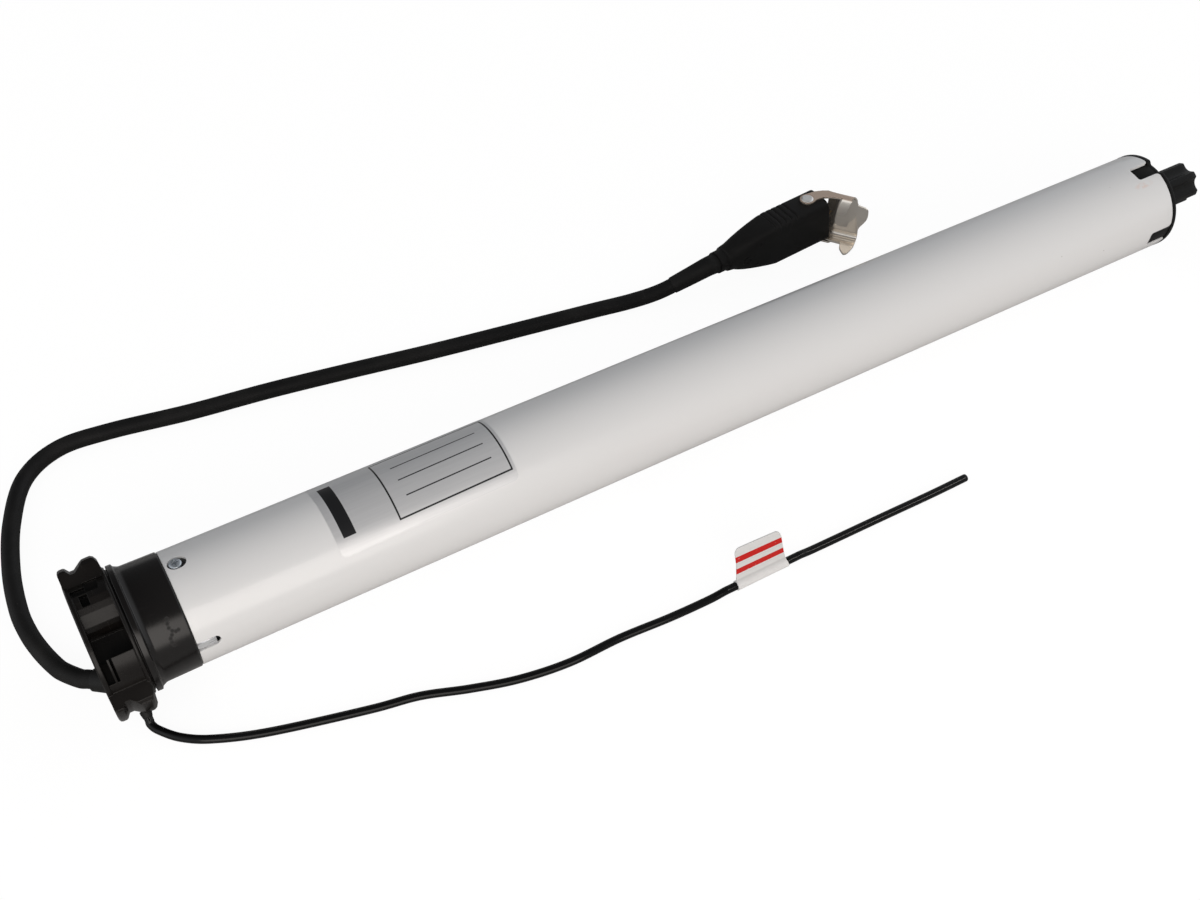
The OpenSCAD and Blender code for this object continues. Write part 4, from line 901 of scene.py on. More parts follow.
class BLIND_OT_screws(Operator):
    """The two tube screws with their domed heads, cross recesses and slits"""
    bl_idname = "blind.screws"
    bl_label = "Tube screws"

    def execute(self, context):
        zinc = metal("screw_zinc", (0.60, 0.65, 0.70), 0.24, metallic=0.85, edge=0.0001)
        points, faces = joined([self.turned(phi) for phi in SCREWS])
        screws = piece("tube_screw_heads", points, faces, zinc, slot="screw_steel", replaces=["tube_screws"])
        tools = []
        for phi in SCREWS:
            for turn, bar in ((0, CROSS_BAR), (90, CROSS_BAR), (90, SLIT_BAR)):
                tools.append(self.bar(phi, turn, *bar))
        carve(screws, tools)
        return {"FINISHED"}

    def turned(self, phi):
        """Shank, seat and dome, r = R cos t and h = rim + dome sin t, turned about the screw's axis."""
        t = np.radians(np.linspace(0, 84, 10))
        radius = np.concatenate([[SCREW_SHANK_R, SCREW_SHANK_R, SCREW_HEAD_R - SCREW_EDGE, SCREW_HEAD_R],
                                 SCREW_HEAD_R * np.cos(t)])[:, None]
        high = np.concatenate([[-SCREW_IN, SCREW_SEAT, SCREW_SEAT, SCREW_SEAT + SCREW_EDGE],
                               SCREW_RIM + SCREW_DOME * np.sin(t)])[:, None]
        turn = full_turn(SCREW_SIDES)
        rings = screw_point(phi, radius * np.cos(turn), radius * np.sin(turn), high)
        return rings, loft(rings)

    def bar(self, phi, turn, half, wide, floor):
        """A bar across the head, narrower at its floor, turned about the screw's axis."""
        a = math.radians(SCREW_TURN + turn)
        u, v = np.array([half, -half, -half, half]), np.array([wide, wide, -wide, -wide])
        x, y = u * math.cos(a) - v * math.sin(a), u * math.sin(a) + v * math.cos(a)
        ends = ((floor, 0.75), (BAR_TOP, 1.15))
        rings = np.stack([screw_point(phi, x * share, y * share, high) for high, share in ends])
        return rings, loft(rings)


SMUDGE_AT, SMUDGE_SIZE, SMUDGE_COLOUR = (229.4, 65.9), (6.2, 1.9), (0.78, 0.65, 0.595)
SPECK_COLOUR, SPECK_SHARE, LACQUER_ROUGH = (0.30, 0.28, 0.26), 0.8, 0.3


def lacquer_finish():
    """White lacquer under a clear coat, with sparse specks and one faint rubbed mark."""
    base = tuple(settings("tube").lacquer)
    f = Finish("white_lacquer", base, LACQUER_ROUGH,
               {"Coat Weight": 0.46, "Coat Roughness": 0.14, "IOR": 1.5})
    dots = specks(f)
    dotted = f.mix(dots, base, SPECK_COLOUR)
    patchy = f.ramp(f.noise(f.place, 420.0), 0.38, 0.6)
    rubbed = f.math("MULTIPLY", spot(f, SMUDGE_AT, TUBE_R, SMUDGE_SIZE), patchy)
    f.feed("Base Color", f.mix(rubbed, dotted, SMUDGE_COLOUR))
    dulled = f.math("MULTIPLY_ADD", rubbed, 0.1, LACQUER_ROUGH)
    f.feed("Roughness", f.math("MULTIPLY_ADD", dots, 0.3, dulled))
    f.bump(f.noise(f.place, 900.0, 2.0), 0.0000008)
    return f.material


def specks(f):
    """Sparse specks in the lacquer: the middles of a few cells out of many."""
    cells = f.node("ShaderNodeTexVoronoi", {"Vector": f.place, "Scale": 75.0}).outputs
    lot = f.node("ShaderNodeSeparateColor", {"Color": cells["Color"]}).outputs["Red"]
    few = f.math("GREATER_THAN", lot, SPECK_SHARE)
    return f.math("MULTIPLY", few, f.ramp(cells["Distance"], 0.026, 0.012, 0.0, 0.7))


LABEL_X = (-178.5, -103.9)
LABEL_PHI = (37.5, 136.0)
LABEL_ROUND, LABEL_SKEW = 2.4, 0.021
LABEL_FOOT, LABEL_T = 0.005, 0.09
LABEL_ROWS = 58


class BLIND_OT_label(Operator):
    """The rating label's film on the tube, with its ruled frame and nothing written in it"""
    bl_idname = "blind.label"
    bl_label = "Label"

    def execute(self, context):
        girth = np.radians(np.array(LABEL_PHI)) * TUBE_R
        turn = np.linspace(0, math.pi / 2, 9)
        inset = LABEL_ROUND * (1 - np.sin(turn))
        rise = LABEL_ROUND * (1 - np.cos(turn))
        even = np.linspace(girth[0] + LABEL_ROUND, girth[1] - LABEL_ROUND, LABEL_ROWS + 2)[1:-1]
        s = np.concatenate([girth[0] + rise, even, girth[1] - rise[::-1]])
        cut = np.concatenate([inset, np.zeros(LABEL_ROWS), inset[::-1]])
        t = np.linspace(0, 1, 40)
        x = (LABEL_X[0] + cut)[:, None] * (1 - t) + (LABEL_X[1] - cut)[:, None] * t
        turn_x = x - (s[:, None] - girth[0]) * LABEL_SKEW
        turn_s = s[:, None] + (x - LABEL_X[1]) * LABEL_SKEW
        phi = np.degrees(turn_s / TUBE_R)
        skin = around(turn_x, TUBE_R + LABEL_T, phi)
        foot = around(turn_x, TUBE_R + LABEL_FOOT, phi)
        faces = slab(*x.shape)
        lay = np.stack([x, np.broadcast_to(s[:, None], x.shape), np.zeros_like(x)], -1)
        piece("tube_label", np.stack([skin, foot]), faces, label_finish(), slot="white_lacquer",
              straight=np.stack([lay, lay]), sharp=50)
        return {"FINISHED"}


FRAME_X = (-153.05, -105.4)
FRAME_PHI = (49.6, 125.0)
RULE_X = (-147.1, -110.8)
RULE_PHI = (68.6, 86.5, 104.5)
BAR_X = (-175.3, -170.2)
BAR_PHI = (55.0, 120.0)
INK_SOFT, INK_LINE = 0.00004, 0.00034


def label_finish():
    """Metallised film with a ruled frame, three rules and a bar in black."""
    tube = settings("tube")
    film = tuple(tube.film)
    f = Finish("label_film", film, 0.35, {"Coat Weight": 0.06, "Coat Roughness": 0.3})
    split = f.split(f.lay())

    def girth(phi):
        return math.radians(phi) * TUBE_R * MM

    def box(xs, phis, grow_x=0.0, grow_s=0.0):
        """1 between two stations and two directions, grown on each side."""
        along = f.band(split["X"], xs[0] * MM - grow_x, xs[1] * MM + grow_x, INK_SOFT)
        return f.math("MULTIPLY", along,
                      f.band(split["Y"], girth(phis[0]) - grow_s, girth(phis[1]) + grow_s, INK_SOFT))

    ink = f.math("SUBTRACT", box(FRAME_X, FRAME_PHI, INK_LINE, INK_LINE),
                 box(FRAME_X, FRAME_PHI, -INK_LINE, -INK_LINE))
    ink = f.math("MAXIMUM", ink, box(BAR_X, BAR_PHI))
    for phi in RULE_PHI:
        ink = f.math("MAXIMUM", ink, box(RULE_X, (phi, phi), 0.0, INK_LINE * 0.75))
    fibre = f.noise(f.stretch(f.place, (40.0, 900.0, 900.0)), 1.0, 2.0)
    tone = f.mix(f.ramp(fibre, 0.3, 0.7), tint(film, 0.97), tint(film, 1.03))
    f.feed("Base Color", f.mix(ink, tone, tuple(tube.ink)))
    f.feed("Metallic", f.ramp(ink, 0.0, 1.0, 0.43, 0.0))
    f.feed("Roughness", f.ramp(f.noise(f.place, 60.0, 4.0), 0.3, 0.7, 0.33, 0.37))
    f.bump(f.noise(f.place, 120.0), 0.000003)
    return f.material


# Ring, cap, shaft and spigot

RING_LOW, RING_HIGH = node_box("running_ring")
CAP_END = node_box("end_cap")[1][0]
SHAFT_LOW, SHAFT_HIGH = node_box("output_shaft")
HEAD_BACK = -256.55
RING_REACH, RING_BORE, FLANGE_R, FLANGE_T, COLLAR_R = 0.4, 19.6, 24.85, 1.75, 23.7
RING_MARKS = [(-244.0, 47.3), (-244.4, 43.1), (-244.5, 38.9), (-243.8, 35.3), (-242.7, 33.7), (-241.7, 34.1),
              (-244.4, 31.9), (-245.3, 29.2), (-245.3, 25.2), (-245.0, 21.5)]
RIM_R, FLUSH_R, DEEP_R, SKIRT_R, CAP_BORE = 22.62, 22.1, 20.8, 21.25, 10.9
TAB_GAP, TAB_STEP, TAB_DRAFT = 0.12, 0.06, 0.9
LOBES, LOBE_PHI, FLUTE_SET, FLUTE_R, LOBE_R, LOBE_SOFT = 6, 58.0, 11.6, 4.3, 9.4, 0.35
SHAFT_RECESS, RECESS_DEEP = 4.0, 3.0


class BLIND_OT_ring(Operator):
    """The running ring: a flange, a step and a barrel, turned about the tube's axis"""
    bl_idname = "blind.ring"
    bl_label = "Running ring"

    def execute(self, context):
        start, end = RING_LOW[0] - RING_REACH, RING_HIGH[0]
        step = RING_LOW[0] + FLANGE_T
        corners = [(start, RING_BORE), (start, FLANGE_R), (step, FLANGE_R), (step + 0.35, 23.85),
                   (step + 2.1, 23.0), (end, 22.85), (end, RING_BORE)]
        rings, faces = turned(fillet(corners, [0.2, 0.35, 0.35, 1.1, 2.5, 0.55, 0.2], 6))
        finish = moulded("ring_plastic", tuple(settings("moulding").ring), 0.22, specular=0.37, dust=0.02,
                         scuffs=0.2, spread=0.1, depth=0.000003, marks=RING_MARKS)
        piece("ring_barrel", rings, faces, finish, body="running_ring", slot="ring_plastic",
              replaces=["running_ring"])
        back, front = HEAD_BACK + 0.02, start - 0.06
        corners = [(back, RING_BORE), (back, COLLAR_R), (front, COLLAR_R), (front, RING_BORE)]
        rings, faces = turned(fillet(corners, 0.12, 3))
        piece("head_collar", rings, faces, finish, slot="ring_plastic")
        return {"FINISHED"}


class BLIND_OT_cap(Operator):
    """The end cap: a rim past the tube and four tabs set into the tube's notches"""
    bl_idname = "blind.cap"
    bl_label = "End cap"

    def execute(self, context):
        half = NOTCH_W / 2 - TAB_GAP
        side = half + np.array([-0.9, -0.6, -0.3, -0.05, 0.02, 0.3, 0.6, 0.9])
        phi = columns([(NOTCHES, side)], 2.0, 0.6)
        deep, flush = (np.min([np.abs(across(phi, mid)) for mid in NOTCHES[k::2]], 0) for k in (0, 1))
        skirt = SKIRT_R + (DEEP_R - SKIRT_R) * np.clip((half - deep) / TAB_STEP, 0, 1)
        skirt = skirt + (FLUSH_R - SKIRT_R) * np.clip((half - flush) / TAB_STEP, 0, 1)
        rim = RIM_R + (DEEP_R - RIM_R) * ease((half + TAB_DRAFT - deep) / (2 * TAB_DRAFT))
        start, mouth, end = TUBE_END - NOTCH_LEN + TAB_GAP, TUBE_END + 0.05, CAP_END + 0.28
        bore, ones = np.full(len(phi), CAP_BORE), np.ones_like(phi)
        stops = [(start, bore), (start, skirt - 0.4), (start + 0.12, skirt - 0.12), (start + 0.4, skirt),
                 (mouth - 0.3, skirt), (mouth, skirt), (mouth, rim - 0.2), (mouth + 0.08, rim - 0.06),
                 (mouth + 0.25, rim), (end - 0.45, rim), (end - 0.2, rim - 0.06), (end - 0.06, rim - 0.2),
                 (end, rim - 0.45), (end, 18.0 * ones), (end - 0.1, 17.8 * ones), (end - 0.6, 17.5 * ones),
                 (end - 0.6, 12.8 * ones), (end - 0.1, 12.5 * ones), (end, 12.3 * ones), (end, bore)]
        x, r = zip(*stops)
        grid = around(np.array(x)[None], np.stack(r, 1), phi[:, None])
        finish = moulded("cap_plastic", tuple(settings("moulding").cap), 0.45, specular=0.15, dust=0.02,
                         spread=0.16)
        piece("cap_rim", grid, hoop(grid), finish, slot="cap_plastic", replaces=["end_cap"])
        return {"FINISHED"}


def lobed(theta):
    """Radius of the fluted shaft: a circle, cut by one flute circle between each pair of lobes."""
    pitch = 2 * math.pi / LOBES
    off = (theta - math.radians(LOBE_PHI)) % pitch - pitch / 2
    under = np.clip(FLUTE_R ** 2 - (FLUTE_SET * np.sin(off)) ** 2, 0, None)
    flute = np.where(under > 0, FLUTE_SET * np.cos(off) - np.sqrt(under), 99.0)
    gap = np.clip((LOBE_R - flute) / LOBE_SOFT, -30, 30)
    return LOBE_R - LOBE_SOFT * np.log1p(np.exp(gap)) * np.where(gap < -29, 0, 1)


class BLIND_OT_shaft(Operator):
    """The fluted output shaft: a lobed section carried along the axis from its collar to its recessed end"""
    bl_idname = "blind.shaft"
    bl_label = "Output shaft"

    def execute(self, context):
        start, end = SHAFT_LOW[0], SHAFT_HIGH[0]
        theta = full_turn(180)
        along = np.array([0, 0.25, 1.2, 2.2, 3.2, 4.2, 5.2, 6.4, 8, 14, 20, 26, end - start - 0.45,
                          end - start - 0.2, end - start - 0.06, end - start])
        inset = np.concatenate([np.zeros(13), [0.08, 0.22, 0.42]])[:, None]
        collar = np.interp(along, [0, 0.25, 2.2, 4.2, 6.4, 8], [10.3, 10.45, 10.2, 9.9, 9.6, LOBE_R])[:, None]
        blend = ease((along - 2.2) / 5.0)[:, None]
        r = collar * (1 - blend) + lobed(theta)[None] * blend - inset
        floor = end - RECESS_DEEP
        x = np.concatenate([start + along, [end, end - 0.15, floor, floor]])
        hole = np.array([SHAFT_RECESS + 0.25, SHAFT_RECESS, SHAFT_RECESS, 0.6])[:, None] * np.ones_like(theta)
        rings = around(x[:, None], np.vstack([r, hole]), np.degrees(theta)[None])
        finish = moulded("shaft_plastic", tuple(settings("moulding").cap), 0.42, specular=0.16, dust=0.02,
                         spread=0.16)
        piece("shaft_lobes", rings, loft(rings), finish, body="output", slot="shaft_plastic",
              replaces=["output_shaft"], sharp=50)
        return {"FINISHED"}


class BLIND_OT_spigot(Operator):
    """The spigot in the tube: painted near-black as shade in the gaps round the keys, with two bright keys
    that stop short of the slots' ends
    """
    bl_idname = "blind.spigot"
    bl_label = "Spigot"

    def execute(self, context):
        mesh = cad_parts["head_spigot"].data.copy()
        work = bmesh.new()
        work.from_mesh(mesh)
        bmesh.ops.remove_doubles(work, verts=work.verts, dist=1e-6)
        work.to_mesh(mesh)
        work.free()
        spigot = dress("spigot_keyed", mesh, spigot_finish(), slot="zinc", replaces=["head_spigot"])
        carve(spigot, [key_end(phi) for phi in SLOTS])
        return {"FINISHED"}


KEY_LEN, KEY_HALF, KEY_SOFT = 7.1, 0.002, 0.0001
KEY_CUT, KEY_CUT_HALF, KEY_CUT_FROM, KEY_CUT_TO = 4.0, 3.2, 20.2, 24.0


def key_end(phi):
    """A box across the end of a slot, which takes the key down below the tube's wall."""
    x = TUBE_X + KEY_LEN + KEY_CUT * np.array([1, 0, 0, 1])
    y = KEY_CUT_HALF * np.array([1, 1, -1, -1])
    rings = np.stack([beside(phi, x, y, r) for r in (KEY_CUT_FROM, KEY_CUT_TO)])
    return rings, loft(rings)


def spigot_finish():
    """Near-black, which is painted shade for the gaps round the keys and screws, and bright zinc on the two
    keys, told apart by their height beside the tube's axis.
    """
    f = Finish("zinc_keys", (0.6, 0.61, 0.62), 0.3)
    split = f.split(f.place)
    rise = f.math("MULTIPLY", f.math("SUBTRACT", split["Z"], AXIS_Z * MM),
                  f.math("MULTIPLY", f.math("SIGN", split["Y"]), -1.0))
    middle = TUBE_R * math.sin(math.radians(SLOT_PHI)) * MM
    inside = f.band(rise, middle - KEY_HALF, middle + KEY_HALF, KEY_SOFT)
    ahead = f.ramp(split["X"], (TUBE_X - 0.1) * MM, TUBE_X * MM)
    before = f.ramp(split["X"], (TUBE_X + KEY_LEN + 0.05) * MM, (TUBE_X + KEY_LEN - 0.02) * MM)
    key = f.math("MULTIPLY", inside, f.math("MULTIPLY", ahead, before))
    lines = f.noise(f.stretch(f.place, (300.0, 1600.0, 1600.0)), 1.0)
    zinc = f.mix(f.ramp(lines, 0.3, 0.7), (0.70, 0.71, 0.72), (0.80, 0.81, 0.82))
    # Painted shade: all but the keys is painted near-black, to show as shadow in the slots and round the
    # screw heads.
    f.feed("Base Color", f.mix(key, (0.012, 0.012, 0.012), zinc))
    f.feed("Metallic", f.math("MULTIPLY", key, 0.55))
    f.feed("Roughness", f.ramp(lines, 0.3, 0.7, 0.24, 0.4))
    f.bump(lines, 0.000008)
    return f.material


# Plug

PLUG_W, PLUG_H, PLUG_NECK, PLUG_SHOULDER = 15.0, 24.0, 5.3, 30.5
GROOVES, GROOVE_SET, GROOVE_PITCH, GROOVE_HALF, GROOVE_DEEP = 5, 19.2, 3.3, 0.85, 0.65
PLUG_LIP, LIP_REACH = 3.6, 14.0
NECK_AT, NECK_STEP = PLUG_LEN - 4.6, 0.75
FRONT_EDGE, FRONT_ROUND, FRONT_START = 0.8, 0.35, 0.35
UPPER_POWER, LOWER_POWER, NECK_POWER = 5.5, 11.0, 2.0
SIDE_DELAY, SIDE_OGIVE, UPPER_OGIVE, UPPER_HOLLOW = 4, 1.1, 1.3, 0.1
GROOVE_FACE, GROOVE_FADE = 0.62, 0.25
POCKET_W, POCKET_H, POCKET_DEEP, POCKET_POWER = 11.2, 20.2, 16.1, 26
PLUG_SIDES, TORUS_SIDES, WIRE_STEPS = 96, 36, 10


def oblong(theta, a, b, n):
    """A superellipse: y = a cos^(2/n) and z = b sin^(2/n), with the signs of the cosine and the sine."""
    c, s = np.cos(theta), np.sin(theta)
    return a * np.sign(c) * np.abs(c) ** (2 / n), b * np.sign(s) * np.abs(s) ** (2 / n)


def plug_point(t, theta):
    """A point on the plug at distance t behind its front and direction theta round it.

    The section is a superellipse that turns from a rounded oblong into a circle along an ogive:
    y = a cos^(2/n), z = b sin^(2/n), with a, b and n falling from the shoulder to the neck.
    The lower half is squarer and tapers straight, and the front leans out towards its lower lip.
    Five rounded grooves cross the upper narrow face.
    """
    t, theta = np.broadcast_arrays(np.asarray(t, float), theta)
    s = np.clip((t - PLUG_SHOULDER) / (NECK_AT - PLUG_SHOULDER), 0, 1)
    shoulder = PLUG_SHOULDER + SIDE_DELAY
    s_side = np.clip((t - shoulder) / (NECK_AT - shoulder), 0, 1)
    lower = np.sin(theta) < 0
    fall = np.where(lower, s, s ** UPPER_OGIVE * (1 - UPPER_HOLLOW * np.sin(s * math.pi)))
    n = np.where(lower, LOWER_POWER, UPPER_POWER)
    n = n + (NECK_POWER - n) * np.clip(s * 1.15, 0, 1)
    front = np.clip(1 - t / FRONT_EDGE, 0, 1)
    step = np.clip((t - NECK_AT) / 0.5, 0, 1)
    inset = FRONT_ROUND * front ** 2 + NECK_STEP * step
    a = PLUG_W / 2 + (PLUG_NECK + NECK_STEP - PLUG_W / 2) * s_side ** SIDE_OGIVE - inset
    b = PLUG_H / 2 + (PLUG_NECK + NECK_STEP - PLUG_H / 2) * fall - inset
    y, z = oblong(theta, a, b, n)
    groove = 0.0
    for k in range(GROOVES):
        off = np.abs(t - GROOVE_SET - k * GROOVE_PITCH) / GROOVE_HALF
        groove = groove + GROOVE_DEEP * 0.5 * (1 + np.cos(math.pi * np.clip(off, 0, 1)))
    return plug_place(t, y, z - groove * ease((z / b - GROOVE_FACE) / GROOVE_FADE))


def plug_place(t, y, z):
    """A place on the plug from its distance behind the front, its side step and its height."""
    lip = PLUG_LIP * (0.5 - z / PLUG_H) * np.clip(1 - t / LIP_REACH, 0, 1)
    return PLUG_FRONT - (t - lip)[..., None] * PLUG_WAY + y[..., None] * PLUG_SIDE + z[..., None] * UP


def pocket_point(t, theta):
    """A point in the pocket for the contact carrier, whose section is a superellipse close to an oblong."""
    t, theta = np.broadcast_arrays(np.asarray(t, float), theta)
    return plug_place(t, *oblong(theta, POCKET_W / 2, POCKET_H / 2, POCKET_POWER))


class BLIND_OT_plug(Operator):
    """The moulded plug housing and the small marks on its side"""
    bl_idname = "blind.plug"
    bl_label = "Plug"

    def execute(self, context):
        finish = moulded("plug_plastic", tuple(settings("moulding").plug), 0.56, specular=0.17,
                         grain_scale=3600.0, dust=0.03, scuffs=0.25)
        front = FRONT_START + np.array([0, 0.1, 0.25, 0.5, 0.85])
        grip = np.linspace(GROOVE_SET - 1.2, GROOVE_SET + (GROOVES - 1) * GROOVE_PITCH + 1.2, 88)
        t = np.concatenate([front, np.linspace(2.5, GROOVE_SET - 2, 7), grip,
                            np.linspace(grip[-1] + 1, NECK_AT - 0.4, 22),
                            NECK_AT + np.array([-0.1, 0.1, 0.3, 0.5, 0.8, 2.0, 3.6, 4.9])])
        theta = full_turn(PLUG_SIDES)[None] + 0.02
        pocket = pocket_point(np.array([POCKET_DEEP, 14.0, 0.6, FRONT_START])[:, None], theta)
        rings = np.vstack([pocket, plug_point(t[:, None], theta)])
        piece("plug_shell", rings, loft(rings), finish, slot="plug_plastic", replaces=["plug_housing"],
              sharp=40)
        self.mark("plug_ring", 48.6, -0.02, 1.9, 0.28, finish)
        for name, t_dot, lift in (("plug_dot_a", 41.4, 0.22), ("plug_dot_b", 42.2, -0.18)):
            self.mark(name, t_dot, lift, 0.35, 0.3, finish)
        return {"FINISHED"}

    def mark(self, name, t, lift, ring_r, wire_r, finish):
        """A raised ring on the plug's front side: a torus in the plane that touches the side there."""
        theta = math.pi - lift
        here = plug_point(t, theta)
        along = plug_point(t + 0.2, theta) - here
        girth = plug_point(t, theta - 0.02) - here
        along /= np.linalg.norm(along)
        girth -= along * (girth @ along)
        girth /= np.linalg.norm(girth)
        out = np.cross(girth, along)
        out *= np.sign(out @ -PLUG_SIDE)
        a, b = full_turn(TORUS_SIDES)[:, None], full_turn(WIRE_STEPS)[None]
        reach = ring_r + wire_r * np.cos(b)
        flat = (reach * np.cos(a))[..., None] * along + (reach * np.sin(a))[..., None] * girth
        grid = here + flat + (wire_r * np.sin(b) * np.ones_like(a))[..., None] * out
        piece(name, grid, hoop(grid), finish, slot="plug_plastic")


# Bail

BAIL_PIVOT = PLUG_FRONT - 8.0 * PLUG_WAY
BAIL_T, BAIL_Z, EYE_R, RIVET_HOLE_R = 0.9, 12.6, 3.6, 1.65
ARM_PAINTED_SHADE = (0.60, 0.47, 0.38)
WEB_FROM, WEB_TO = np.array([13.6, -0.6]), np.array([22.4, -13.8])
WEB_WAY = (WEB_TO - WEB_FROM) / np.linalg.norm(WEB_TO - WEB_FROM)
WEB_IN = np.array([WEB_WAY[1], -WEB_WAY[0]])
TOP_BEND, FLOOR_BEND, FLOOR_TILT, RELIEF_TILT = 2.4, 2.2, 98.0, -22.0
WEB_RUN, RELIEF_RUN, FLOOR_RUN = BAIL_Z - TOP_BEND + 8.8, 0.8, 13.8
TONGUE_T, TONGUE_DROP, TONGUE_CURVE, TONGUE_DRAW = 0.7, (1.0, 6.9), 1.25, 2.0
TONGUE_IN, TONGUE_SIDES, TONGUE_TIP, TIP_R = (4.3, 2.9), (7.8, 12.7), 0.78, 2.2
PIN_REACH = 15.0
WEB_CURL, CURL_Z, CURL_REACH = 0.022, [-6.0, 8.0], [3.6, 8.2]
TAB_CURL, TAB_CURL_FROM, TAB_LOW = 0.12, 15.2, -8.85
FLAT_TILT, FLOOR_FROM = 0.01, 60


def web_plan(q, inward):
    """Plan of the bail, from its pivot: q along the web and inward from it."""
    q, inward = np.broadcast_arrays(np.asarray(q, float), inward)
    return WEB_FROM + q[..., None] * WEB_WAY + inward[..., None] * WEB_IN


def bail_place(plan, z):
    """A point of the bail from its plan and its height over the plug's axis."""
    plan, z = np.asarray(plan, float), np.asarray(z, float)
    return BAIL_PIVOT + plan[..., :1] * PLUG_WAY + plan[..., 1:] * PLUG_SIDE + z[..., None] * UP


def bent_line():
    """Middle line of the bent sheet from its top edge to the hook: inward, height and tilt of each point.

    The tilt a is -90 on the top flange, 0 on the web and 98 on the floor. The line goes on by (sin a, -cos a)
    over runs of equal bend, given as first tilt, last tilt, length and steps.
    """
    runs = [(-90, 0, TOP_BEND * math.pi / 2, 10), (0, 0, WEB_RUN, 44), (0, RELIEF_TILT, 0.5, 4),
            (RELIEF_TILT, RELIEF_TILT, RELIEF_RUN, 3),
            (RELIEF_TILT, FLOOR_TILT, FLOOR_BEND * math.radians(FLOOR_TILT - RELIEF_TILT), 16),
            (FLOOR_TILT, FLOOR_TILT, FLOOR_RUN, 36)]
    tilt, step = [-90.0], []
    for start, end, run, count in runs:
        tilt += list(start + (end - start) * np.arange(1, count + 1) / count)
        step += [run / count] * count
    a = np.radians(tilt)
    middle = (a[1:] + a[:-1]) / 2
    inward = TOP_BEND + np.concatenate([[0], np.cumsum(np.sin(middle) * step)])
    z = BAIL_Z - np.concatenate([[0], np.cumsum(np.cos(middle) * step)])
    return inward, z, a


TAB_EDGE = [(12.6, 12.4), (12.0, 13.2), (10.2, 14.3), (8.4, 14.7), (7.35, 15.3), (7.1, 17.4), (6.8, 18.6),
            (6.2, 19.4), (5.4, 20.0), (4.5, 20.3), (2.0, 20.45), (0.5, 20.3), (-1.0, 19.8), (-3.0, 18.7),
            (-4.4, 17.8), (-5.6, 17.2), (-7.2, 16.75), (-8.8, 16.7)]
FLOOR_EDGE = [(-1.0, 16.75), (5.0, 16.9), (7.1, 16.9), (10.7, 16.3), (13.0, 15.8), (14.3, 15.4), (15.1, 14.9),
              (15.6, 14.3)]
HOOK_EDGE = [(6.4, 0.0), (6.7, 0.4), (6.85, 9.6), (7.1, 10.3), (8.6, 10.3), (10.8, 10.8), (12.8, 11.7),
             (14.3, 12.7), (15.1, 13.4), (15.6, 13.9)]
TOP_ARM = [(3.4, 3.0), (6.6, 2.5), (10.3, 0.8), (12.4, -0.75), (18.48, -12.25), (16.4, -13.0), (13.8, -9.0),
           (10.9, -5.8), (7.2, -3.5), (3.6, -2.8)]
LOW_ARM = [(3.4, 2.9), (7.0, 1.9), (10.6, -1.6), (8.4, -4.2), (11.2, -8.9), (9.6, -8.6), (6.6, -4.2),
           (3.6, -3.0)]


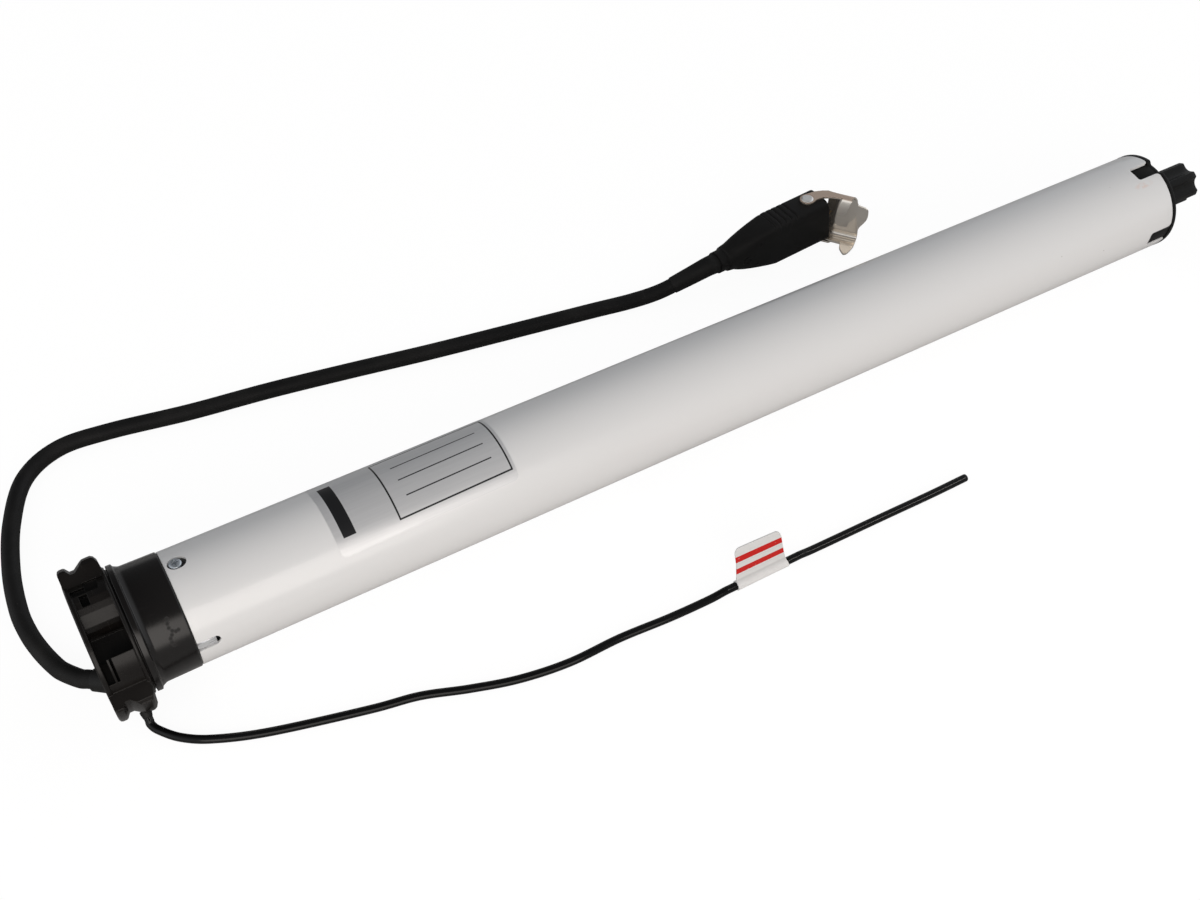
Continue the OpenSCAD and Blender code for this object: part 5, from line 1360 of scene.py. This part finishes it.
class BLIND_OT_bail(Operator):
    """The locking bail: bent sheet with a web, thumb tab, hook, two arms and a bent tongue"""
    bl_idname = "blind.bail"
    bl_label = "Locking bail"

    def execute(self, context):
        arms = [self.arm(TOP_ARM, BAIL_Z), self.arm(LOW_ARM, -BAIL_Z)]
        points, faces = joined([self.sheet(), *arms, self.tongue()])
        top = BAIL_PIVOT[2] + BAIL_Z
        # Painted shade: the top arm is painted darker and warmer above its height.
        nickel = metal("bail_nickel", (0.84, 0.78, 0.70), 0.14, metallic=0.88, edge=0.00025, depth=0.0000015,
                       tarnish=(0.78, 0.71, 0.63), painted_shade_above=((top - 0.3) * MM, (top + 0.2) * MM, ARM_PAINTED_SHADE))
        bail = piece("bail_sheet", points, faces, nickel, body="locking_bail", slot="bail_nickel",
                     replaces=["locking_bail"], sharp=40)
        carve(bail, [self.rivet_hole()], crossing=True)
        return {"FINISHED"}

    def sheet(self):
        """The bent line carried along the web, between the outlines of its two sides."""
        inward, z, tilt = bent_line()
        upper = np.degrees(tilt) <= FLAT_TILT
        on_tab = np.array(TAB_EDGE)[::-1]
        right = np.where(upper & (z > TAB_LOW), np.interp(z, on_tab[:, 0], on_tab[:, 1]),
                         np.interp(inward, *np.array(FLOOR_EDGE).T))
        on_floor = np.degrees(tilt) > FLOOR_FROM
        left = np.where(on_floor, np.interp(inward, *np.array(HOOK_EDGE).T),
                        np.interp(z, [10.2, 12.6], [0.0, -1.2]))
        q = left[:, None] + (right - left)[:, None] * np.linspace(0, 1, 26)
        fade = np.clip(1 - np.abs(np.degrees(tilt)) / FLOOR_FROM, 0, 1)[:, None]
        reach = np.interp(z, CURL_Z, CURL_REACH)[:, None]
        tab = TAB_CURL * np.clip(q - TAB_CURL_FROM, 0, None)
        lean = fade * (tab + WEB_CURL * np.clip(reach - q, 0, None) ** 2)
        return self.plies(q, inward, z, tilt, BAIL_T, lean)

    def plies(self, q, inward, z, tilt, thick, lean=0.0):
        """The two sides of a bent strip, half its thickness off the middle line each way."""
        sides = []
        for half in (thick / 2, -thick / 2):
            deep, high = (inward + half * np.cos(tilt))[:, None], (z + half * np.sin(tilt))[:, None]
            sides.append(bail_place(web_plan(q, deep - lean), np.broadcast_to(high, q.shape)))
        return np.stack(sides), slab(*q.shape)

    def arm(self, edge, z):
        """A flat arm: a round eye at the pivot, drawn out to the web."""
        turn = np.radians(np.linspace(70, 290, 24))
        eye = EYE_R * np.stack([np.cos(turn), np.sin(turn)], -1)
        plan = np.vstack([eye, np.array(edge)[::-1]])
        half = BAIL_T / 2
        rings = np.stack([bail_place(plan, np.full(len(plan), z + h)) for h in (-half, half)])
        return rings, loft(rings)

    def tongue(self):
        """A tongue that is bent down from the top flange and draws in to a round tip."""
        t = np.linspace(0, 1, 22)
        inward = TONGUE_IN[0] + TONGUE_IN[1] * t
        z = BAIL_Z - TONGUE_DROP[0] * t - TONGUE_DROP[1] * t ** TONGUE_CURVE
        a = np.arctan2(np.gradient(inward), -np.gradient(z))
        tip = np.clip((t - TONGUE_TIP) / (1 - TONGUE_TIP), 0, 1)
        round_in = TIP_R * (1 - np.sqrt(1 - tip ** 2))
        left = TONGUE_SIDES[0] - TONGUE_DRAW * t + round_in
        right = TONGUE_SIDES[1] - TONGUE_DRAW * t - round_in
        q = left[:, None] + (right - left)[:, None] * np.linspace(0, 1, 10)
        return self.plies(q, inward, z, a, TONGUE_T)

    def rivet_hole(self):
        """A pin through both arms at the pivot."""
        turn = full_turn(40)
        plan = RIVET_HOLE_R * np.stack([np.cos(turn), np.sin(turn)], -1)
        rings = np.stack([bail_place(plan, np.full(len(plan), h)) for h in (-PIN_REACH, PIN_REACH)])
        return rings, loft(rings)


# Stage

FRONT_BOX = ((-0.62, -1.75, 0.70), (-0.05, 0, 0.04), (2.26, 1.5))
WIRE_STRIP = ((0.95, -1.05, 1.25), (0.03, -0.08, 0.0), (0.7, 0.16))
LAMP_TINT, SKY_TINT, WHITE = (1.0, 0.945, 0.895), (0.97, 0.99, 1.02), (1, 1, 1)
FLOOR_HALF, FLOOR_SEEN, FLOOR_MIRRORED, FLOOR_GLOW = 30.0, 0.82, 0.06, 1.15
CAMERA_AT = (-0.25845, -0.3464, 0.4582)
CAMERA_AHEAD, CAMERA_RIGHT = (0.335, 0.578, -0.744), (0.865, -0.501, 0.0)


class BLIND_OT_stage(Operator):
    """Floor, soft light and the camera at the photograph's angle"""
    bl_idname = "blind.stage"
    bl_label = "Stage"

    def execute(self, context):
        stage = settings("stage")
        self.floor(stage)
        self.sky(stage)
        self.softbox("front_softbox", *FRONT_BOX, stage.softbox)
        self.softbox("wire_strip", *WIRE_STRIP, stage.strip)
        self.camera(stage)
        context.scene.view_settings.view_transform = "Standard"
        return {"FINISHED"}

    def floor(self, stage):
        """A wide sheet of paper that looks close to white to the camera."""
        mesh = bpy.data.meshes.new("floor")
        corners = [(FLOOR_HALF * x, FLOOR_HALF * y, 0) for x, y in ((-1, -1), (1, -1), (1, 1), (-1, 1))]
        mesh.from_pydata(corners, [], [(0, 1, 2, 3)])
        f = Finish("floor_paper", tuple(stage.floor), 0.9)
        path = f.node("ShaderNodeLightPath").outputs
        mirrored = f.math("MAXIMUM", path["Is Glossy Ray"], path["Is Transmission Ray"])
        share = f.math("MULTIPLY_ADD", path["Is Camera Ray"], FLOOR_SEEN,
                       f.math("MULTIPLY", mirrored, FLOOR_MIRRORED))
        glow = f.node("ShaderNodeEmission", {"Color": (*WHITE, 1), "Strength": FLOOR_GLOW})
        mixed = f.node("ShaderNodeMixShader", {"Fac": share, 1: f.shader.outputs["BSDF"],
                                               2: glow.outputs["Emission"]})
        f.give(f.tree.nodes["Material Output"].inputs["Surface"], mixed.outputs["Shader"])
        coat(mesh, f.material)
        put("floor", mesh)

    def sky(self, stage):
        """Light from all round, stronger towards the tube's ends, and plain white for the camera."""
        world = bpy.data.worlds.new("studio")
        bpy.context.scene.world = world
        world.use_nodes = True
        g = Nodes(world.node_tree)
        seen = g.node("ShaderNodeLightPath").outputs["Is Camera Ray"]
        along = g.split(g.node("ShaderNodeTexCoord").outputs["Generated"])["X"]
        lit = g.math("MULTIPLY_ADD", g.math("MULTIPLY", along, along), stage.ends, stage.sky)
        back = g.tree.nodes["Background"].inputs
        g.give(back["Strength"], g.ramp(seen, 0.0, 1.0, lit, 1.0))
        g.give(back["Color"], g.mix(seen, SKY_TINT, WHITE))

    def softbox(self, name, place, aim, size, radiance):
        lamp = bpy.data.lights.new(name, "AREA")
        lamp.shape = "RECTANGLE"
        lamp.size, lamp.size_y = size
        lamp.energy = radiance * math.pi * size[0] * size[1]
        lamp.color = LAMP_TINT
        obj = put(name, lamp)
        obj.location = place
        obj.visible_camera = False
        obj.rotation_euler = (Vector(aim) - Vector(place)).to_track_quat("-Z", "Y").to_euler()

    def camera(self, stage):
        data = bpy.data.cameras.new("camera")
        data.sensor_width = 36.0
        data.sensor_fit = "HORIZONTAL"
        data.lens = stage.lens
        data.clip_start = 0.01
        cam = put("camera", data)
        ahead, right = Vector(CAMERA_AHEAD).normalized(), Vector(CAMERA_RIGHT).normalized()
        turn = Matrix((right, right.cross(ahead), -ahead)).transposed()
        cam.matrix_world = Matrix.Translation(Vector(CAMERA_AT)) @ turn.to_4x4()
        bpy.context.scene.camera = cam


# Finishes of CAD nodes

class BLIND_OT_moulded(Operator):
    """Finishes of the moulded head, the plug's insert and the cord gland"""
    bl_idname = "blind.moulded"
    bl_label = "Moulded pieces"

    def execute(self, context):
        m = settings("moulding")
        wear("drive_head", moulded("head_plastic", tuple(m.head), 0.28, specular=0.23, edge=m.soft_edge * 1.6,
                                   dust=0.04, scuffs=0.6, spread=0.2, depth=0.000005))
        wear("plug_insert", moulded("insert_plastic", (0.012, 0.012, 0.0115), 0.45, edge=m.soft_edge))
        wear("cord_gland", gland_finish())
        return {"FINISHED"}


class BLIND_OT_metals(Operator):
    """Finishes of the rivets, the head and shaft screws, the brake spring and the contacts"""
    bl_idname = "blind.metals"
    bl_label = "Metal pieces"

    def execute(self, context):
        steel = metal("screw_steel", (0.52, 0.53, 0.54), 0.3, edge=0.0001)
        for node in ("head_screws", "shaft_screw", "brake_spring"):
            wear(node, steel)
        wear("bail_rivets", metal("rivet_zinc", (0.74, 0.74, 0.73), 0.34, metallic=0.6, edge=0.0002))
        wear("plug_contacts", metal("contact_brass", (0.72, 0.50, 0.20), 0.28))
        return {"FINISHED"}


INNER_MOULDED = {
    "cradle_plastic": ((0.06, 0.06, 0.065), 0.5, ["board_cradle"]),
    "board_mask": ((0.02, 0.12, 0.055), 0.35, ["control_board"]),
    "relay_case": ((0.02, 0.06, 0.2), 0.4, ["relays"]),
    "terminal_case": ((0.05, 0.26, 0.1), 0.45, ["terminal_block"]),
    "capacitor_case": ((0.62, 0.60, 0.55), 0.35, ["run_capacitor"]),
    "friction_pad": ((0.04, 0.035, 0.03), 0.8, ["brake_disc"]),
}
INNER_METAL = {
    "tin_can": ((0.56, 0.57, 0.58), 0.32, ["radio_module"]),
    "shield_cast": ((0.47, 0.48, 0.49), 0.45, ["rear_shield", "front_shield"]),
    "sintered_bronze": ((0.46, 0.30, 0.14), 0.45, ["rear_bearing", "front_bearing", "output_bush"]),
    "core_sheet": ((0.26, 0.27, 0.28), 0.4, ["stator_core", "rotor_core"]),
    "winding_wire": ((0.50, 0.21, 0.09), 0.35, ["stator_winding"]),
    "ground_steel": ((0.45, 0.46, 0.47), 0.3, ["rotor_shaft", "carrier_1", "carrier_2", "carrier_3"]),
    "brake_steel": ((0.24, 0.25, 0.26), 0.42, ["brake_coil", "brake_armature"]),
    "gear_steel": ((0.40, 0.41, 0.42), 0.38, ["gear_plate", "gear_housing"]),
}
PLANETS = [f"planet_{stage}{place}" for stage in "123" for place in "abc"]


class BLIND_OT_works(Operator):
    """Finishes of the works inside the tube: electronics, motor, brake and gears"""
    bl_idname = "blind.works"
    bl_label = "Inner works"

    def execute(self, context):
        for name, (shade, rough, nodes) in INNER_MOULDED.items():
            for node in nodes:
                wear(node, moulded(name, shade, rough, dust=0.1, scuffs=0.2))
        for name, (shade, rough, nodes) in INNER_METAL.items():
            for node in nodes:
                wear(node, metal(name, shade, rough))
        for node in PLANETS:
            wear(node, moulded("gear_plastic", (0.66, 0.62, 0.52), 0.4, dust=0.05, scuffs=0.2))
        return {"FINISHED"}


# Panel and registration

class BLIND_PT_panel(Panel):
    """The steps that dress the motor"""
    bl_idname = "BLIND_PT_panel"
    bl_label = "Blind motor"
    bl_space_type = "VIEW_3D"
    bl_region_type = "UI"
    bl_category = "Blind motor"

    def draw(self, context):
        for step in STEPS:
            self.layout.operator(step.bl_idname)


STEPS = (BLIND_OT_stage, BLIND_OT_plug, BLIND_OT_bail, BLIND_OT_power_cord, BLIND_OT_aerial, BLIND_OT_tube,
         BLIND_OT_screws, BLIND_OT_label, BLIND_OT_ring, BLIND_OT_cap, BLIND_OT_shaft, BLIND_OT_spigot,
         BLIND_OT_moulded, BLIND_OT_metals, BLIND_OT_works)
GROUPS = {"blind_tube": TubeSettings, "blind_moulding": MouldingSettings, "blind_leads": LeadSettings,
          "blind_stage": StageSettings}


def register():
    for group in GROUPS.values():
        bpy.utils.register_class(group)
    for name, group in GROUPS.items():
        setattr(bpy.types.Scene, name, PointerProperty(type=group))
    for step in (*STEPS, BLIND_PT_panel):
        bpy.utils.register_class(step)


def unregister():
    for step in (BLIND_PT_panel, *reversed(STEPS)):
        bpy.utils.unregister_class(step)
    for name, group in GROUPS.items():
        delattr(bpy.types.Scene, name)
        bpy.utils.unregister_class(group)


def main():
    """Registers the add-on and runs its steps."""
    register()
    bpy.ops.blind.stage()
    bpy.ops.blind.plug()
    bpy.ops.blind.bail()
    bpy.ops.blind.power_cord()
    bpy.ops.blind.aerial()
    bpy.ops.blind.tube()
    bpy.ops.blind.screws()
    bpy.ops.blind.label()
    bpy.ops.blind.ring()
    bpy.ops.blind.cap()
    bpy.ops.blind.shaft()
    bpy.ops.blind.spigot()
    bpy.ops.blind.moulded()
    bpy.ops.blind.metals()
    bpy.ops.blind.works()


if __name__ == "__main__":
    main()
